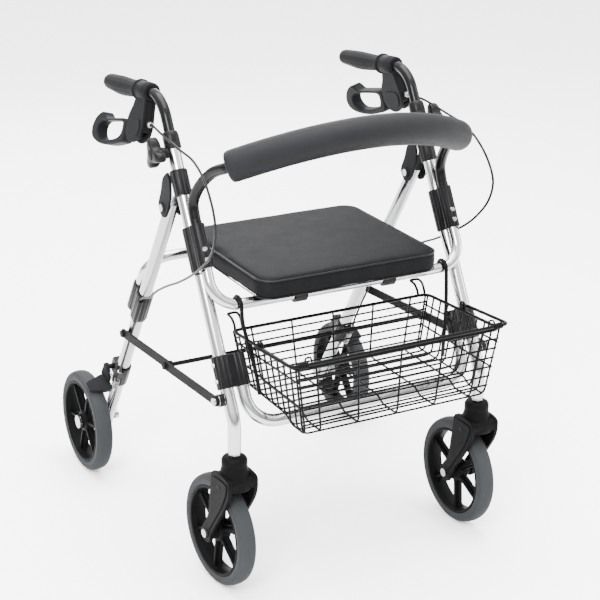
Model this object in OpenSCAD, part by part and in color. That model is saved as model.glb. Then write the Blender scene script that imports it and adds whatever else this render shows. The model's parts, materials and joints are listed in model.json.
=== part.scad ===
// Four-wheel folding walker with a seat, a backrest, a wire basket and loop brakes.
// +Z is up, the walker faces -Y, and the origin lies on the floor at the middle of the outer box.

/* [Wheels] */
// Radius of all four wheels
wheel_r = 100; // [90:1:104]
// Width of a tyre
tyre_w = 32; // [26:1:34]
// Depth of the rubber on the rim
tyre_depth = 18; // [14:1:20]
// Sideways distance of a rear wheel from the middle
rear_wheel_x = 291; // [289:1:296]
// Position of the rear axle along Y
rear_axle_y = 294; // [286:1:300]

/* [Frame] */
// Sideways distance of the legs from the middle
leg_x = 246; // [242:1:248]
// Outside diameter of the front leg tube
front_leg_d = 23; // [22:0.5:24]
// Outside diameter of the rear leg tube
rear_leg_d = 24; // [22:0.5:24]
// Backwards lean of the front leg from the vertical
front_lean = 29.25; // [28:0.25:30]
// Position of the caster stem along Y
foot_y = -265; // [-268:1:-262]
// Height where the front leg turns upright
bend_z = 321; // [318:1:324]
// Height of the fold hinge
hinge_z = 628; // [624:1:632]
// Position of the fold hinge along Y
hinge_y = -24; // [-26:1:-22]

/* [Seat and backrest] */
// Width of the seat cushion
seat_w = 354; // [330:2:360]
// Diameter of the foam on the backrest
foam_d = 54; // [48:1:58]

/* [Basket] */
// Width of the basket at the rim
basket_w = 394; // [380:2:398]

/* [Hidden] */
$fn = 48;
LEFT = -1;
RIGHT = 1;

// Walls and gaps
tube_wall = 1.5;
fit_gap = 0.05;
over = 1;

// Front leg: s is the distance up the sloping tube from the bend
bend_r = 60;
foot_z = 268;
leg_top_s = 482;
stud_s = 466;
bracket_step = 25;
cross_step = 29;
slim_d = 19;
lower_u_d = 22;

// Rear leg: s is the distance up the tube from the hinge, so it is negative below
rear_lean = atan2(rear_axle_y - hinge_y, hinge_z - wheel_r);
rear_leg_len = norm([rear_axle_y - hinge_y, hinge_z - wheel_r]);
rear_step = 24;
rear_run_s = -165;

// Hinge in the front leg's own frame
hinge_up = (hinge_y - foot_y) * sin(front_lean) + (hinge_z - bend_z) * cos(front_lean);
hinge_back = (hinge_y - foot_y) * cos(front_lean) - (hinge_z - bend_z) * sin(front_lean);

// Folding struts
strut_front = [-245, 357];
strut_rear_s = -346;
strut_rear = [hinge_y - strut_rear_s * sin(rear_lean), hinge_z + strut_rear_s * cos(rear_lean)];
strut_mid = (strut_front + strut_rear) / 2;
link_t = 4;
link_w = 17;
rear_link_x = 263.8;
front_link_x = 268.1;
pivot_d = 8;

// Casters
trail = 47;
fork_half = 29;
fork_t = 8;
stem_d = 12;
axle_d = 10;

// Handle
handle_bend_s = 566;
handle_bend_r = 60;
handle_drop = 6;
handle_turn = 90 - front_lean + handle_drop;
brake_roll = 15;
grip_start = 82;
grip_bore = 132;

// Seat
seat_bottom = 510;
seat_top = 548;
seat_front = -230;
seat_back = 84;
seat_run_s = (500 - bend_z) / cos(front_lean) - bracket_step * tan(front_lean);
seat_corner_r = 28;
seat_clip_x = 88;

// Basket
rim_front_y = -386;
rim_rear_y = -160;
rim_front_z = 453;
rim_rear_z = 439;
floor_half_w = 178;
floor_front_y = -379;
floor_rear_y = -168;
floor_front_z = 333;
floor_rear_z = 343;
step_y = -325;
wire_d = 3;
rim_d = 5;

// ---------- general helpers ----------

module on_side(side) {
    if (side == RIGHT) children();
    else mirror([1, 0, 0]) children();
}

module both_sides() {
    for (side = [LEFT, RIGHT]) on_side(side) children();
}

// Children stand on the sloping front leg, at distance s up from its bend
module front_frame(s = 0) {
    translate([leg_x, foot_y, bend_z]) rotate([-front_lean, 0, 0]) translate([0, 0, s]) children();
}

// Children stand on the rear leg, at distance s up from the hinge
module rear_frame(s = 0) {
    translate([leg_x, hinge_y, hinge_z]) rotate([rear_lean, 0, 0]) translate([0, 0, s]) children();
}

module rod(p, q, d, sides = 48) {
    v = q - p;
    translate(p)
        rotate([0, acos(v[2] / norm(v)), atan2(v[1], v[0])])
            cylinder(d = d, h = norm(v), $fn = sides);
}

module rod_x(x1, x2, d) {
    translate([x1, 0, 0]) rotate([0, 90, 0]) cylinder(d = d, h = x2 - x1);
}

// A U-shaped tube: the run lies on X, and the arms rise by the height at each end
module u_solid(half_w, height, corner_r, d) {
    rod([-half_w + corner_r, 0, 0], [half_w - corner_r, 0, 0], d);
    for (side = [LEFT, RIGHT]) on_side(side) {
        translate([half_w - corner_r, 0, corner_r]) rotate([90, 0, 0])
            rotate_extrude(angle = 90, start = -90) translate([corner_r, 0]) circle(d = d);
        translate([half_w, 0, corner_r]) cylinder(d = d, h = height - corner_r);
    }
}

module u_tube(half_w, height, corner_r, d) {
    difference() {
        u_solid(half_w, height, corner_r, d);
        u_solid(half_w, height + over, corner_r, d - 2 * tube_wall);
    }
}

// ---------- swept tubes ----------

function unit(v) = v / norm(v);

function smooth_point(p0, p1, p2, p3, t) =
    0.5 * (2 * p1 + (p2 - p0) * t + (2 * p0 - 5 * p1 + 4 * p2 - p3) * t * t
        + (3 * p1 - p0 - 3 * p2 + p3) * t * t * t);

// Smooth route through the points, with a number of steps between each two
function smooth_route(pts, steps) = let (n = len(pts)) concat(
    [for (i = [0 : n - 2]) for (k = [0 : steps - 1])
        smooth_point(pts[max(i - 1, 0)], pts[i], pts[i + 1], pts[min(i + 2, n - 1)], k / steps)],
    [pts[n - 1]]);

function route_dir(r, i) = unit(r[min(i + 1, len(r) - 1)] - r[max(i - 1, 0)]);

function carry(n, t) = unit(n - (n * t) * t);

function route_normals(r, i = 1, done = []) =
    let (first = carry([0.31, 0.52, 0.8], route_dir(r, 0)), have = len(done) == 0 ? [first] : done)
    i >= len(r) ? have : route_normals(r, i + 1, concat(have, [carry(have[i - 1], route_dir(r, i))]));

function ring_points(r, normals, i, radius, sides) =
    let (t = route_dir(r, i), n = normals[i], b = cross(t, n))
    [for (k = [0 : sides - 1]) r[i] + radius * (cos(360 * k / sides) * n + sin(360 * k / sides) * b)];

module swept(route, d, sides) {
    normals = route_normals(route);
    n = len(route);
    points = [for (i = [0 : n - 1]) each ring_points(route, normals, i, d / 2, sides)];
    walls = [for (i = [0 : n - 2]) for (k = [0 : sides - 1]) let (m = (k + 1) % sides)
        each [[i * sides + k, (i + 1) * sides + k, (i + 1) * sides + m],
              [i * sides + k, (i + 1) * sides + m, i * sides + m]]];
    ends = [[for (k = [0 : sides - 1]) k], [for (k = [sides - 1 : -1 : 0]) (n - 1) * sides + k]];
    polyhedron(points = points, faces = concat(walls, ends), convexity = 10);
}

// ---------- front frame ----------

module front_leg_solid(d, top, bottom) {
    half_turn = bend_r * tan(front_lean / 2);
    front_frame(half_turn) cylinder(d = d, h = top - half_turn);
    translate([leg_x, foot_y, bend_z - half_turn]) translate([0, bend_r, 0]) rotate([0, 0, 90])
        rotate([90, 0, 0]) rotate_extrude(angle = front_lean, start = 180 - front_lean)
            translate([bend_r, 0]) circle(d = d);
    translate([leg_x, foot_y, bottom]) cylinder(d = d, h = bend_z - half_turn - bottom);
}

module front_leg(side) {
    color("silver") on_side(side) difference() {
        front_leg_solid(front_leg_d, leg_top_s, foot_z);
        front_leg_solid(front_leg_d - 2 * tube_wall, leg_top_s + over, foot_z - over);
        translate([leg_x, strut_front[0], strut_front[1]]) rod_x(0, 20, pivot_d);
        front_frame(stud_s) rod_x(0, 20, pivot_d + 2 * fit_gap);
    }
}

collar_bottom = 471;
collar_top = 501;

module leg_collars() {
    color([0.1, 0.1, 0.1]) both_sides() front_frame() difference() {
        union() {
            translate([0, 0, collar_bottom]) cylinder(d = 29, h = collar_top - collar_bottom);
            translate([0, 0, stud_s]) rod_x(4, 18, 18);
        }
        translate([0, 0, stud_s - 15]) cylinder(d = front_leg_d, h = leg_top_s - stud_s + 15);
        translate([0, 0, leg_top_s - over]) cylinder(d = slim_d + 0.3, h = 40);
        translate([0, 0, stud_s]) rod_x(0, 20, pivot_d + 2 * fit_gap);
    }
}

ear_plate_in = 12.5;
ear_plate_out = 17;

module ear_outline() {
    circle(d = 34);
    polygon([[15, 6], [-44, 49], [-60, 49], [-60, 10], [-12, -13]]);
}

module upper_brackets() {
    color([0.13, 0.13, 0.13]) both_sides() front_frame() difference() {
        union() {
            translate([0, 0, hinge_up + 4]) cylinder(d = 30, h = 45);
            for (x = [-ear_plate_out, ear_plate_in])
                translate([x, hinge_back, hinge_up]) rotate([90, 0, 90])
                    linear_extrude(ear_plate_out - ear_plate_in) ear_outline();
        }
        cylinder(d = front_leg_d, h = 500);
        translate([0, hinge_back, hinge_up]) rod_x(-20, 20, pivot_d);
    }
}

module twin_sleeve(d1, d2, step, h) {
    difference() {
        union() {
            cylinder(d = d1 + 7, h = h);
            translate(step) cylinder(d = d2 + 6, h = h);
        }
        translate([0, 0, -over]) cylinder(d = d1, h = h + 2 * over);
        translate(step) translate([0, 0, -over]) cylinder(d = d2, h = h + 2 * over);
    }
}

middle_s = 259;
middle_h = 76;
backrest_seat_s = 298;
button_s = 322;

module middle_brackets() {
    color([0.13, 0.13, 0.13]) both_sides() front_frame(middle_s) difference() {
        twin_sleeve(front_leg_d, slim_d, [0, -bracket_step, 0], middle_h);
        translate([0, -bracket_step, backrest_seat_s - middle_s])
            cylinder(d = slim_d + 0.6, h = middle_h);
        translate([0, -bracket_step, button_s - middle_s]) rotate([90, 0, 0]) cylinder(d = 7.4, h = 20);
        for (s = bracket_screws) translate([0, -bracket_step, s - middle_s]) rotate([90, 0, 0]) {
            cylinder(d = 5, h = 20);
            translate([0, 0, slim_d / 2 + 2.5]) cylinder(d = 9.2, h = 10);
        }
    }
}

lower_s = 58;
lower_h = 56;

module lower_brackets() {
    color([0.13, 0.13, 0.13]) both_sides() front_frame(lower_s) difference() {
        union() {
            twin_sleeve(front_leg_d, lower_u_d, [-cross_step, 0, 0], lower_h);
            translate([-19, -9, 0]) cube([10, 18, lower_h]);
        }
        translate([0, 0, -over]) cylinder(d = front_leg_d, h = lower_h + 2 * over);
        translate([-cross_step, 0, -over]) cylinder(d = lower_u_d, h = lower_h + 2 * over);
        for (s = [14, 42]) translate([0, 0, s]) rotate([0, 90, 0]) {
            cylinder(d = 5, h = 20);
            translate([0, 0, front_leg_d / 2 + 3]) cylinder(d = 9.2, h = 10);
        }
    }
}

module seat_front_tube() {
    top_s = 296;
    color("silver") translate([0, foot_y, bend_z]) rotate([-front_lean, 0, 0])
        translate([0, -bracket_step, seat_run_s]) u_tube(leg_x, top_s - seat_run_s, 45, slim_d);
}

lower_run_s = -10;

module lower_front_tube() {
    color("silver") translate([0, foot_y, bend_z]) rotate([-front_lean, 0, 0])
        translate([0, 0, lower_run_s])
            u_tube(leg_x - cross_step, lower_s + lower_h - 2 - lower_run_s, 50, lower_u_d);
}

bracket_screws = [272, 290];

// Domed screws that pin the tubes in their brackets
module frame_screws() {
    color("gainsboro") both_sides() {
        for (s = bracket_screws) front_frame(s) rotate([90, 0, 0]) {
            translate([0, 0, bracket_step + slim_d / 2 + 0.05]) cylinder(d = 4.9, h = 4);
            translate([0, 0, bracket_step + slim_d / 2 + 3]) cylinder(d1 = 9, d2 = 6, h = 2.5);
        }
        for (s = [lower_s + 14, lower_s + 42]) front_frame(s) rotate([0, 90, 0]) {
            translate([0, 0, front_leg_d / 2 + 0.05]) cylinder(d = 4.9, h = 4);
            translate([0, 0, front_leg_d / 2 + 3.5]) cylinder(d1 = 9, d2 = 6, h = 2.5);
        }
    }
}

module caster_stems() {
    color("silver") both_sides() translate([leg_x, foot_y, 0]) {
        translate([0, 0, 236]) cylinder(d = stem_d, h = 27);
        translate([0, 0, 262]) cylinder(d = 21, h = 6, $fn = 6);
        translate([0, 0, foot_z - 0.5]) cylinder(d = front_leg_d - 2 * tube_wall, h = 28);
    }
}

// Bolts of the fold hinge and the front pivots of the struts
module pivot_bolts() {
    color("gainsboro") both_sides() {
        front_frame(hinge_up) translate([0, hinge_back, 0]) {
            rod_x(-ear_plate_out - 2, ear_plate_out + 2, pivot_d);
            rod_x(ear_plate_out, ear_plate_out + 3.5, 13);
            rod_x(-ear_plate_out - 3.5, -ear_plate_out, 13);
        }
        translate([0, strut_front[0], strut_front[1]]) {
            rod_x(leg_x + 8, front_link_x + link_t + 1, pivot_d);
            rod_x(leg_x + front_leg_d / 2 + 0.1, front_link_x - 0.3, 21);
            rod_x(front_link_x + link_t + 0.3, front_link_x + link_t + 4, 13);
        }
    }
}

// ---------- rear frame ----------

module rear_leg(side) {
    color([0.7, 0.72, 0.74]) on_side(side) rear_frame() difference() {
        translate([0, 0, -rear_leg_len - 16]) cylinder(d = rear_leg_d, h = rear_leg_len + 30);
        translate([0, 0, -rear_leg_len + 14])
            cylinder(d = rear_leg_d - 2 * tube_wall, h = rear_leg_len - 28);
        rod_x(-20, 20, pivot_d + 2 * fit_gap);
        translate([0, 0, -rear_leg_len]) rod_x(-20, 20, axle_d);
    }
}

rear_bracket_s = -300;
rear_bracket_h = 68;

module rear_brackets() {
    color([0.13, 0.13, 0.13]) both_sides() rear_frame(rear_bracket_s)
        twin_sleeve(rear_leg_d, slim_d, [0, rear_step, 0], rear_bracket_h);
}

module seat_rear_tube() {
    drop = rear_run_s - rear_bracket_s - 4;
    color([0.7, 0.72, 0.74]) translate([0, hinge_y, hinge_z]) rotate([rear_lean, 0, 0])
        translate([0, rear_step, rear_run_s]) mirror([0, 0, 1]) u_tube(leg_x, drop, 45, slim_d);
}

clamp_s = -498;
clamp_h = 50;
shoe_pivot_s = -478;
shoe_pivot_back = 22;
shoe_pin_d = 7;

module brake_clamps() {
    color([0.13, 0.13, 0.13]) both_sides() rear_frame(clamp_s) difference() {
        union() {
            cylinder(d = rear_leg_d + 7, h = clamp_h);
            translate([-9, 8, 4]) cube([18, 24, 34]);
            translate([6, -18, 28]) cube([12, 16, 20]);
            translate([0, shoe_pivot_back, shoe_pivot_s - clamp_s]) rod_x(8, 26, shoe_pin_d);
        }
        translate([0, 0, -over]) cylinder(d = rear_leg_d, h = clamp_h + 2 * over);
    }
}

module rear_axles() {
    hub_out = rear_wheel_x + 17;
    color("gainsboro") both_sides() translate([0, rear_axle_y, wheel_r]) {
        rod_x(leg_x - rear_leg_d / 2 - 2, hub_out, axle_d);
        rod_x(leg_x - rear_leg_d / 2 - 8, leg_x - rear_leg_d / 2 - 0.1, 17);
        rod_x(leg_x + rear_leg_d / 2 + 0.1, rear_wheel_x - 17, 17);
    }
}

// ---------- folding struts ----------

module link_bar(p, q) {
    v = q - p;
    difference() {
        union() {
            for (c = [p, q]) translate(c) circle(d = link_w);
            translate(p) rotate(atan2(v[1], v[0])) translate([0, -link_w / 2 + 0.4])
                square([norm(v), link_w - 0.8]);
        }
        for (c = [p, q]) translate(c) circle(d = pivot_d + 2 * fit_gap);
    }
}

module link_plate(x, p, q) {
    translate([x, 0, 0]) rotate([90, 0, 90]) linear_extrude(link_t) link_bar(p, q);
}

module front_links() {
    color([0.15, 0.15, 0.16]) both_sides() link_plate(front_link_x, strut_front, strut_mid);
}

// Rod between the middle joints, with the bolt heads that hold them together
module cross_rod() {
    rod_d = 8;
    color([0.1, 0.1, 0.1]) translate([0, strut_mid[0], strut_mid[1]]) {
        rod_x(-front_link_x - link_t - 1, front_link_x + link_t + 1, rod_d);
        both_sides() rod_x(front_link_x + link_t + 0.1, front_link_x + link_t + 4, 13);
        both_sides() rod_x(rear_link_x - 4.5, rear_link_x - 0.4, 15);
    }
}

module rear_link(side) {
    color([0.15, 0.15, 0.16]) on_side(side) {
        difference() {
            link_plate(rear_link_x, strut_mid, strut_rear);
            translate([0, strut_rear[0], strut_rear[1]]) rod_x(260, 280, pivot_d);
        }
        translate([0, strut_rear[0], strut_rear[1]]) {
            rod_x(leg_x + rear_leg_d / 2 + 0.6, rear_link_x + link_t + 2, pivot_d);
            rod_x(rear_link_x + link_t, rear_link_x + link_t + 4, 13);
        }
    }
}

// ---------- wheels ----------

// Half section of a tyre: a crowned tread between two rounded shoulders
module tyre_section() {
    steps = 8;
    half = tyre_w / 2;
    shoulder = 9;
    crown = 1;
    polygon(concat(
        [[wheel_r - tyre_depth, -half + 1], [wheel_r - shoulder - crown, -half]],
        [for (i = [1 : steps - 1]) let (a = 90 * i / steps)
            [wheel_r - shoulder - crown + shoulder * sin(a), -half + shoulder * (1 - cos(a))]],
        [[wheel_r - crown, -half + shoulder], [wheel_r, -4], [wheel_r, 4], [wheel_r - crown, half - shoulder]],
        [for (i = [steps - 1 : -1 : 1]) let (a = 90 * i / steps)
            [wheel_r - shoulder - crown + shoulder * sin(a), half - shoulder * (1 - cos(a))]],
        [[wheel_r - shoulder - crown, half], [wheel_r - tyre_depth, half - 1]]));
}

module tyre(x, y) {
    color([0.42, 0.44, 0.45]) translate([x, y, wheel_r]) rotate([0, 90, 0]) rotate_extrude() tyre_section();
}

spokes = 6;

module hub(x, y, barrel, first_spoke) {
    rim_r = wheel_r - tyre_depth;
    color([0.09, 0.09, 0.09]) translate([x, y, wheel_r]) rotate([0, 90, 0]) difference() {
        union() {
            difference() {
                translate([0, 0, -14]) cylinder(r = rim_r, h = 28);
                translate([0, 0, -15]) cylinder(r = rim_r - 6, h = 30);
            }
            translate([0, 0, -barrel / 2]) cylinder(r = 17, h = barrel);
            for (i = [0 : spokes - 1]) rotate([0, 0, first_spoke + 360 * i / spokes])
                translate([12, -7, -7]) cube([rim_r - 15, 14, 14]);
        }
        translate([0, 0, -barrel]) cylinder(d = axle_d + 2 * fit_gap, h = 2 * barrel);
    }
}

// The left caster stands turned a little outwards
caster_turn = 4;

module caster_frame(side) {
    translate([side * leg_x, foot_y, 0]) rotate([0, 0, side == LEFT ? caster_turn : 0]) children();
}

module front_tyre(side) {
    caster_frame(side) tyre(0, trail);
}

module front_hub(side) {
    caster_frame(side) hub(0, trail, 40, side == LEFT ? 7 : 54);
}

module rear_tyre(side) {
    tyre(side * rear_wheel_x, rear_axle_y);
}

module rear_hub(side) {
    hub(side * rear_wheel_x, rear_axle_y, 32, 20);
}

module rear_hub_cap(side) {
    color("gainsboro") on_side(side) translate([rear_wheel_x + 16, rear_axle_y, wheel_r]) difference() {
        rod_x(0, 4.5, 26);
        rod_x(-1, 1.5, axle_d + 4);
    }
}

// ---------- casters ----------

module fork_leg_outline() {
    translate([trail, wheel_r]) circle(d = 34);
    polygon([[-27, 232], [-29, 205], [-18, 176], [trail - 17, wheel_r - 2], [trail + 17, wheel_r + 2],
        [34, 176], [27, 206], [24, 232]]);
}

module caster_fork(side) {
    color([0.09, 0.09, 0.09]) caster_frame(side) difference() {
        union() {
            translate([0, 0, 205]) cylinder(r = 23, h = 52);
            translate([0, 0, 256.5]) cylinder(r1 = 23, r2 = 17, h = 5);
            translate([-fork_half, -29, 206]) cube([2 * fork_half, 56, 22]);
            for (x = [-fork_half, fork_half - fork_t]) translate([x, 0, 0]) rotate([90, 0, 90])
                linear_extrude(fork_t) fork_leg_outline();
        }
        translate([0, 0, 235]) cylinder(d = stem_d + 2 * fit_gap, h = 40);
        translate([0, trail, wheel_r]) rod_x(-40, 40, axle_d);
    }
}

module caster_axle(side) {
    color("gainsboro") caster_frame(side) translate([0, trail, wheel_r]) {
        rod_x(-fork_half - 2, fork_half + 2, axle_d);
        for (x = [-fork_half - 4.5, fork_half + 0.1]) rod_x(x, x + 4.4, 15);
    }
}

// ---------- handles and brakes ----------

// Point at distance t along the bend (0 to 1), in the front leg's own plane: [back, up the leg]
function handle_arc(t) = [handle_bend_r * (1 - cos(handle_turn * t)),
    handle_bend_s - handle_bend_r * tan(handle_turn / 2) + handle_bend_r * sin(handle_turn * t)];

// Turns [back, up the leg] into a point on the right-hand side
function leg_plane(p) = [leg_x, foot_y + p[1] * sin(front_lean) + p[0] * cos(front_lean),
    bend_z + p[1] * cos(front_lean) - p[0] * sin(front_lean)];

handle_along = [sin(handle_turn), cos(handle_turn)];
handle_tail_s = 250;
handle_top_s = collar_top + 4;
handle_route = concat([leg_plane([0, handle_top_s - 4]), leg_plane([0, handle_top_s + 8])],
    [for (k = [0 : 8]) leg_plane(handle_arc(k / 8))],
    [leg_plane([0, handle_bend_s] + (grip_start + grip_bore - 1) * handle_along)]);

module handlebar(side) {
    color([0.06, 0.06, 0.06]) on_side(side) {
        front_frame(handle_tail_s) cylinder(d = slim_d, h = handle_top_s - handle_tail_s);
        swept(handle_route, slim_d - 0.4, 20);
    }
}

// Children stand on the handle's axis: +Z points back along it from the bend's corner
module handle_frame(along = 0) {
    front_frame(handle_bend_s) rotate([-handle_turn, 0, 0]) translate([0, 0, along]) children();
}

module grip(side) {
    color([0.2, 0.2, 0.21]) on_side(side) handle_frame() difference() {
        union() {
            translate([0, 0, grip_start]) cylinder(d = 38, h = 5);
            translate([0, 0, grip_start + 5]) cylinder(d1 = 29, d2 = 34, h = 80);
            translate([0, 0, grip_start + 85]) cylinder(d1 = 34, d2 = 28, h = 60);
            translate([0, 0, grip_start + 145]) cylinder(d1 = 28, d2 = 20, h = 6);
        }
        translate([0, 0, grip_start - over]) cylinder(d = slim_d, h = grip_bore + over);
    }
}

// Children stand in the brake's own frame, which is rolled outwards round the handle:
// +X points outwards, +Y down from the handle and +Z back along it
module brake_frame() {
    handle_frame() rotate([0, 0, -brake_roll]) children();
}

// Draws a flat outline of [down, back] points as a plate on both sides of x = 0
module brake_plate(width) {
    translate([-width / 2, 0, 0]) rotate([90, 0, 90]) linear_extrude(width) children();
}

lever_pivot = [74, 62];
lever_pin_d = 7;
cable_start = [54, 24];

module brake_housing(side) {
    color([0.16, 0.16, 0.17]) on_side(side) brake_frame() difference() {
        union() {
            translate([0, 0, 40]) cylinder(d = 33, h = 41);
            difference() {
                brake_plate(22) polygon([[4, 42], [20, 38], [48, 31], [78, 36], [91, 62], [90, 84], [74, 97],
                    [54, 98], [42, 94], [20, 76], [4, 76]]);
                brake_plate(12) polygon([[47, 50], [47, 110], [110, 110], [110, 50]]);
            }
            translate([0, lever_pivot[0], lever_pivot[1]]) rod_x(-10, 10, lever_pin_d);
            translate([0, cable_start[0], cable_start[1]]) cylinder(d = 11, h = 14);
        }
        translate([0, 0, 30]) cylinder(d = slim_d, h = 70);
    }
}

module lever_loop() {
    difference() {
        polygon([[57, 108], [62, 195], [55, 212], [65, 234], [80, 246], [93, 248], [104, 241], [111, 217],
            [112, 169], [103, 125], [96, 106]]);
        polygon([[62, 117], [68, 195], [79, 214], [91, 219], [103, 209], [98, 154], [90, 120]]);
    }
}

module brake_lever(side) {
    color([0.14, 0.14, 0.15]) on_side(side) brake_frame() difference() {
        union() {
            brake_plate(22) lever_loop();
            brake_plate(11) polygon([[66, 54], [62, 112], [90, 112], [84, 56]]);
            translate([0, lever_pivot[0], lever_pivot[1]]) rod_x(-5.5, 5.5, 20);
        }
        translate([0, lever_pivot[0], lever_pivot[1]]) rod_x(-20, 20, lever_pin_d + 2 * fit_gap);
    }
}

shoe_gap = 3;

// Arm that hangs from the clamp's pin, with a curved shoe in front of the tyre
module brake_shoe(side) {
    shoe_in = rear_wheel_x - 15;
    shoe_start = 19;
    shoe_arc = 17;
    pin_y = hinge_y - shoe_pivot_s * sin(rear_lean) + shoe_pivot_back * cos(rear_lean);
    pin_z = hinge_z + shoe_pivot_s * cos(rear_lean) + shoe_pivot_back * sin(rear_lean);
    color([0.12, 0.12, 0.12]) on_side(side) {
        translate([shoe_in, rear_axle_y, wheel_r]) rotate([90, 0, 90])
            linear_extrude(30) difference() {
                intersection() {
                    circle(r = wheel_r + shoe_gap + 10, $fn = 120);
                    polygon([[0, 0], 200 * [cos(90 + shoe_start), sin(90 + shoe_start)],
                        200 * [cos(90 + shoe_start + shoe_arc), sin(90 + shoe_start + shoe_arc)]]);
                }
                circle(r = wheel_r + shoe_gap, $fn = 120);
            }
        difference() {
            union() {
                translate([leg_x + 17, 0, 0]) rotate([90, 0, 90]) linear_extrude(8) {
                    translate([pin_y, pin_z]) circle(d = 17);
                    polygon([[pin_y - 7, pin_z], [pin_y + 7, pin_z + 1], [255, 206], [238, 201], [234, 207]]);
                }
                translate([leg_x + 18, 0, 0]) rotate([90, 0, 90]) linear_extrude(shoe_in - leg_x - 17)
                    polygon([[254, 203], [252, 210], [240, 205], [237, 199], [240, 196.5], [251, 201.5]]);
            }
            translate([0, pin_y, pin_z]) rod_x(0, leg_x + 60, shoe_pin_d + 2 * fit_gap);
        }
    }
}

// Clamp knob with three lobes on a short bolt
module height_knob(side) {
    lobe_start = 25;
    lobe_t = 19;
    lobe_d = 15;
    lobe_reach = 21;
    color([0.16, 0.16, 0.17]) on_side(side) front_frame(stud_s) {
        rod_x(slim_d / 2 + 0.3, 20, pivot_d);
        translate([18.4, 0, 0]) rotate([0, 90, 0]) cylinder(d = 22, h = 27.6);
        for (k = [0 : 2]) translate([lobe_start, 0, 0]) rotate([120 * k, 0, 0]) {
            translate([0, -lobe_d / 2 + 0.5, 0]) cube([lobe_t, lobe_d - 1, lobe_reach]);
            translate([0, 0, lobe_reach]) rotate([0, 90, 0]) cylinder(d = lobe_d, h = lobe_t);
        }
    }
}

// ---------- backrest ----------

back_straight_s = 346;
foam_sag = 0.00143;
foam_drop = 0.00102;
foam_half = 224;
foam_y = -268;
foam_z = 791;

function back_axis(s) = [leg_x, foot_y + s * sin(front_lean) - bracket_step * cos(front_lean),
    bend_z + s * cos(front_lean) + bracket_step * sin(front_lean)];

function foam_point(x) = [x, foam_y + foam_sag * x * x, foam_z - foam_drop * x * x];

// Right-hand half of the bent tube, from its straight end to the end of the foam
back_side = [back_axis(back_straight_s - 4), back_axis(back_straight_s), [245.5, -111, 661], [241, -127, 692],
    [233, -158, 722], foam_point(foam_half)];
foam_route = [for (i = [-8 : 8]) foam_point(foam_half * i / 8)];

function flipped(p) = [-p[0], p[1], p[2]];

back_half = smooth_route(back_side, 2);
back_route = concat([for (p = back_half) flipped(p)],
    [for (i = [1 : len(foam_route) - 2]) foam_route[i]],
    [for (i = [len(back_half) - 1 : -1 : 0]) back_half[i]]);

module backrest_tube() {
    color([0.07, 0.07, 0.07]) {
        swept(back_route, slim_d - 0.4, 16);
        both_sides() front_frame() translate([0, -bracket_step, 0]) difference() {
            translate([0, 0, backrest_seat_s + 0.5])
                cylinder(d = slim_d, h = back_straight_s - backrest_seat_s - 0.5);
            translate([0, 0, button_s]) rotate([90, 0, 0]) translate([0, 0, -4])
                cylinder(d = 7 + 2 * fit_gap, h = 20);
        }
    }
}

module swept_sleeve(route, d_out, d_in, sides) {
    normals = route_normals(route);
    n = len(route);
    outer = [for (i = [0 : n - 1]) each ring_points(route, normals, i, d_out / 2, sides)];
    inner = [for (i = [0 : n - 1]) each ring_points(route, normals, i, d_in / 2, sides)];
    base = n * sides;
    last = (n - 1) * sides;
    walls = [for (i = [0 : n - 2]) for (k = [0 : sides - 1])
        let (m = (k + 1) % sides, a = i * sides, b = (i + 1) * sides)
        each [[a + k, b + k, b + m], [a + k, b + m, a + m],
              [base + a + k, base + b + m, base + b + k], [base + a + k, base + a + m, base + b + m]]];
    ends = [for (k = [0 : sides - 1]) let (m = (k + 1) % sides)
        each [[k, m, base + m], [k, base + m, base + k],
              [last + k, base + last + m, last + m], [last + k, base + last + k, base + last + m]]];
    polyhedron(points = concat(outer, inner), faces = concat(walls, ends), convexity = 10);
}

module backrest_foam() {
    color([0.22, 0.22, 0.23]) swept_sleeve(foam_route, foam_d, slim_d + 0.4, 16);
}

button_start = 2;
button_end = slim_d / 2 - 0.7;

// Spring button that just clears the bracket's bore when the tube slides up
module backrest_button(side) {
    color("gainsboro") on_side(side) front_frame(button_s) translate([0, -bracket_step, 0])
        rotate([90, 0, 0]) translate([0, 0, button_start])
            cylinder(d = 7, h = button_end - button_start);
}

// ---------- seat ----------

board_t = 6;
board_edge = 12;

module rounded_slab(inset, z1, z2) {
    x = seat_w / 2 - inset;
    r = seat_corner_r - inset;
    translate([0, 0, z1]) linear_extrude(z2 - z1) {
        polygon([[-x + r, seat_front + inset], [x - r, seat_front + inset],
            [x, seat_front + inset + r], [x, seat_back - inset - r],
            [x - r, seat_back - inset], [-x + r, seat_back - inset],
            [-x, seat_back - inset - r], [-x, seat_front + inset + r]]);
        for (px = [-x + r, x - r]) for (py = [seat_front + inset + r, seat_back - inset - r])
            translate([px, py]) circle(r = r);
    }
}

module seat_cushion() {
    color([0.1, 0.1, 0.1]) difference() {
        union() {
            rounded_slab(0, seat_bottom, seat_top - 5);
            rounded_slab(4, seat_top - 6, seat_top);
        }
        rounded_slab(board_edge, seat_bottom - 5, seat_bottom + board_t + 0.5);
    }
}

module seat_board() {
    run_y = foot_y + seat_run_s * sin(front_lean) - bracket_step * cos(front_lean);
    run_z = bend_z + seat_run_s * cos(front_lean) + bracket_step * sin(front_lean);
    color([0.12, 0.12, 0.12]) difference() {
        union() {
            rounded_slab(board_edge + 0.5, seat_bottom + 0.3, seat_bottom + board_t);
            for (x = [-seat_clip_x, seat_clip_x]) translate([0, run_y, run_z]) rod_x(x - 11, x + 11, 28);
        }
        translate([0, run_y, run_z]) rod_x(-200, 200, slim_d + 0.4);
        translate([-200, run_y - 30, seat_bottom + board_t]) cube([400, 60, 30]);
    }
}

// ---------- basket ----------

hoops = 7;
side_wires = 9;
side_rails = [0.42, 0.8];
hanger_d = 6;

function mix(a, b, t) = a + (b - a) * t;

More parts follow.
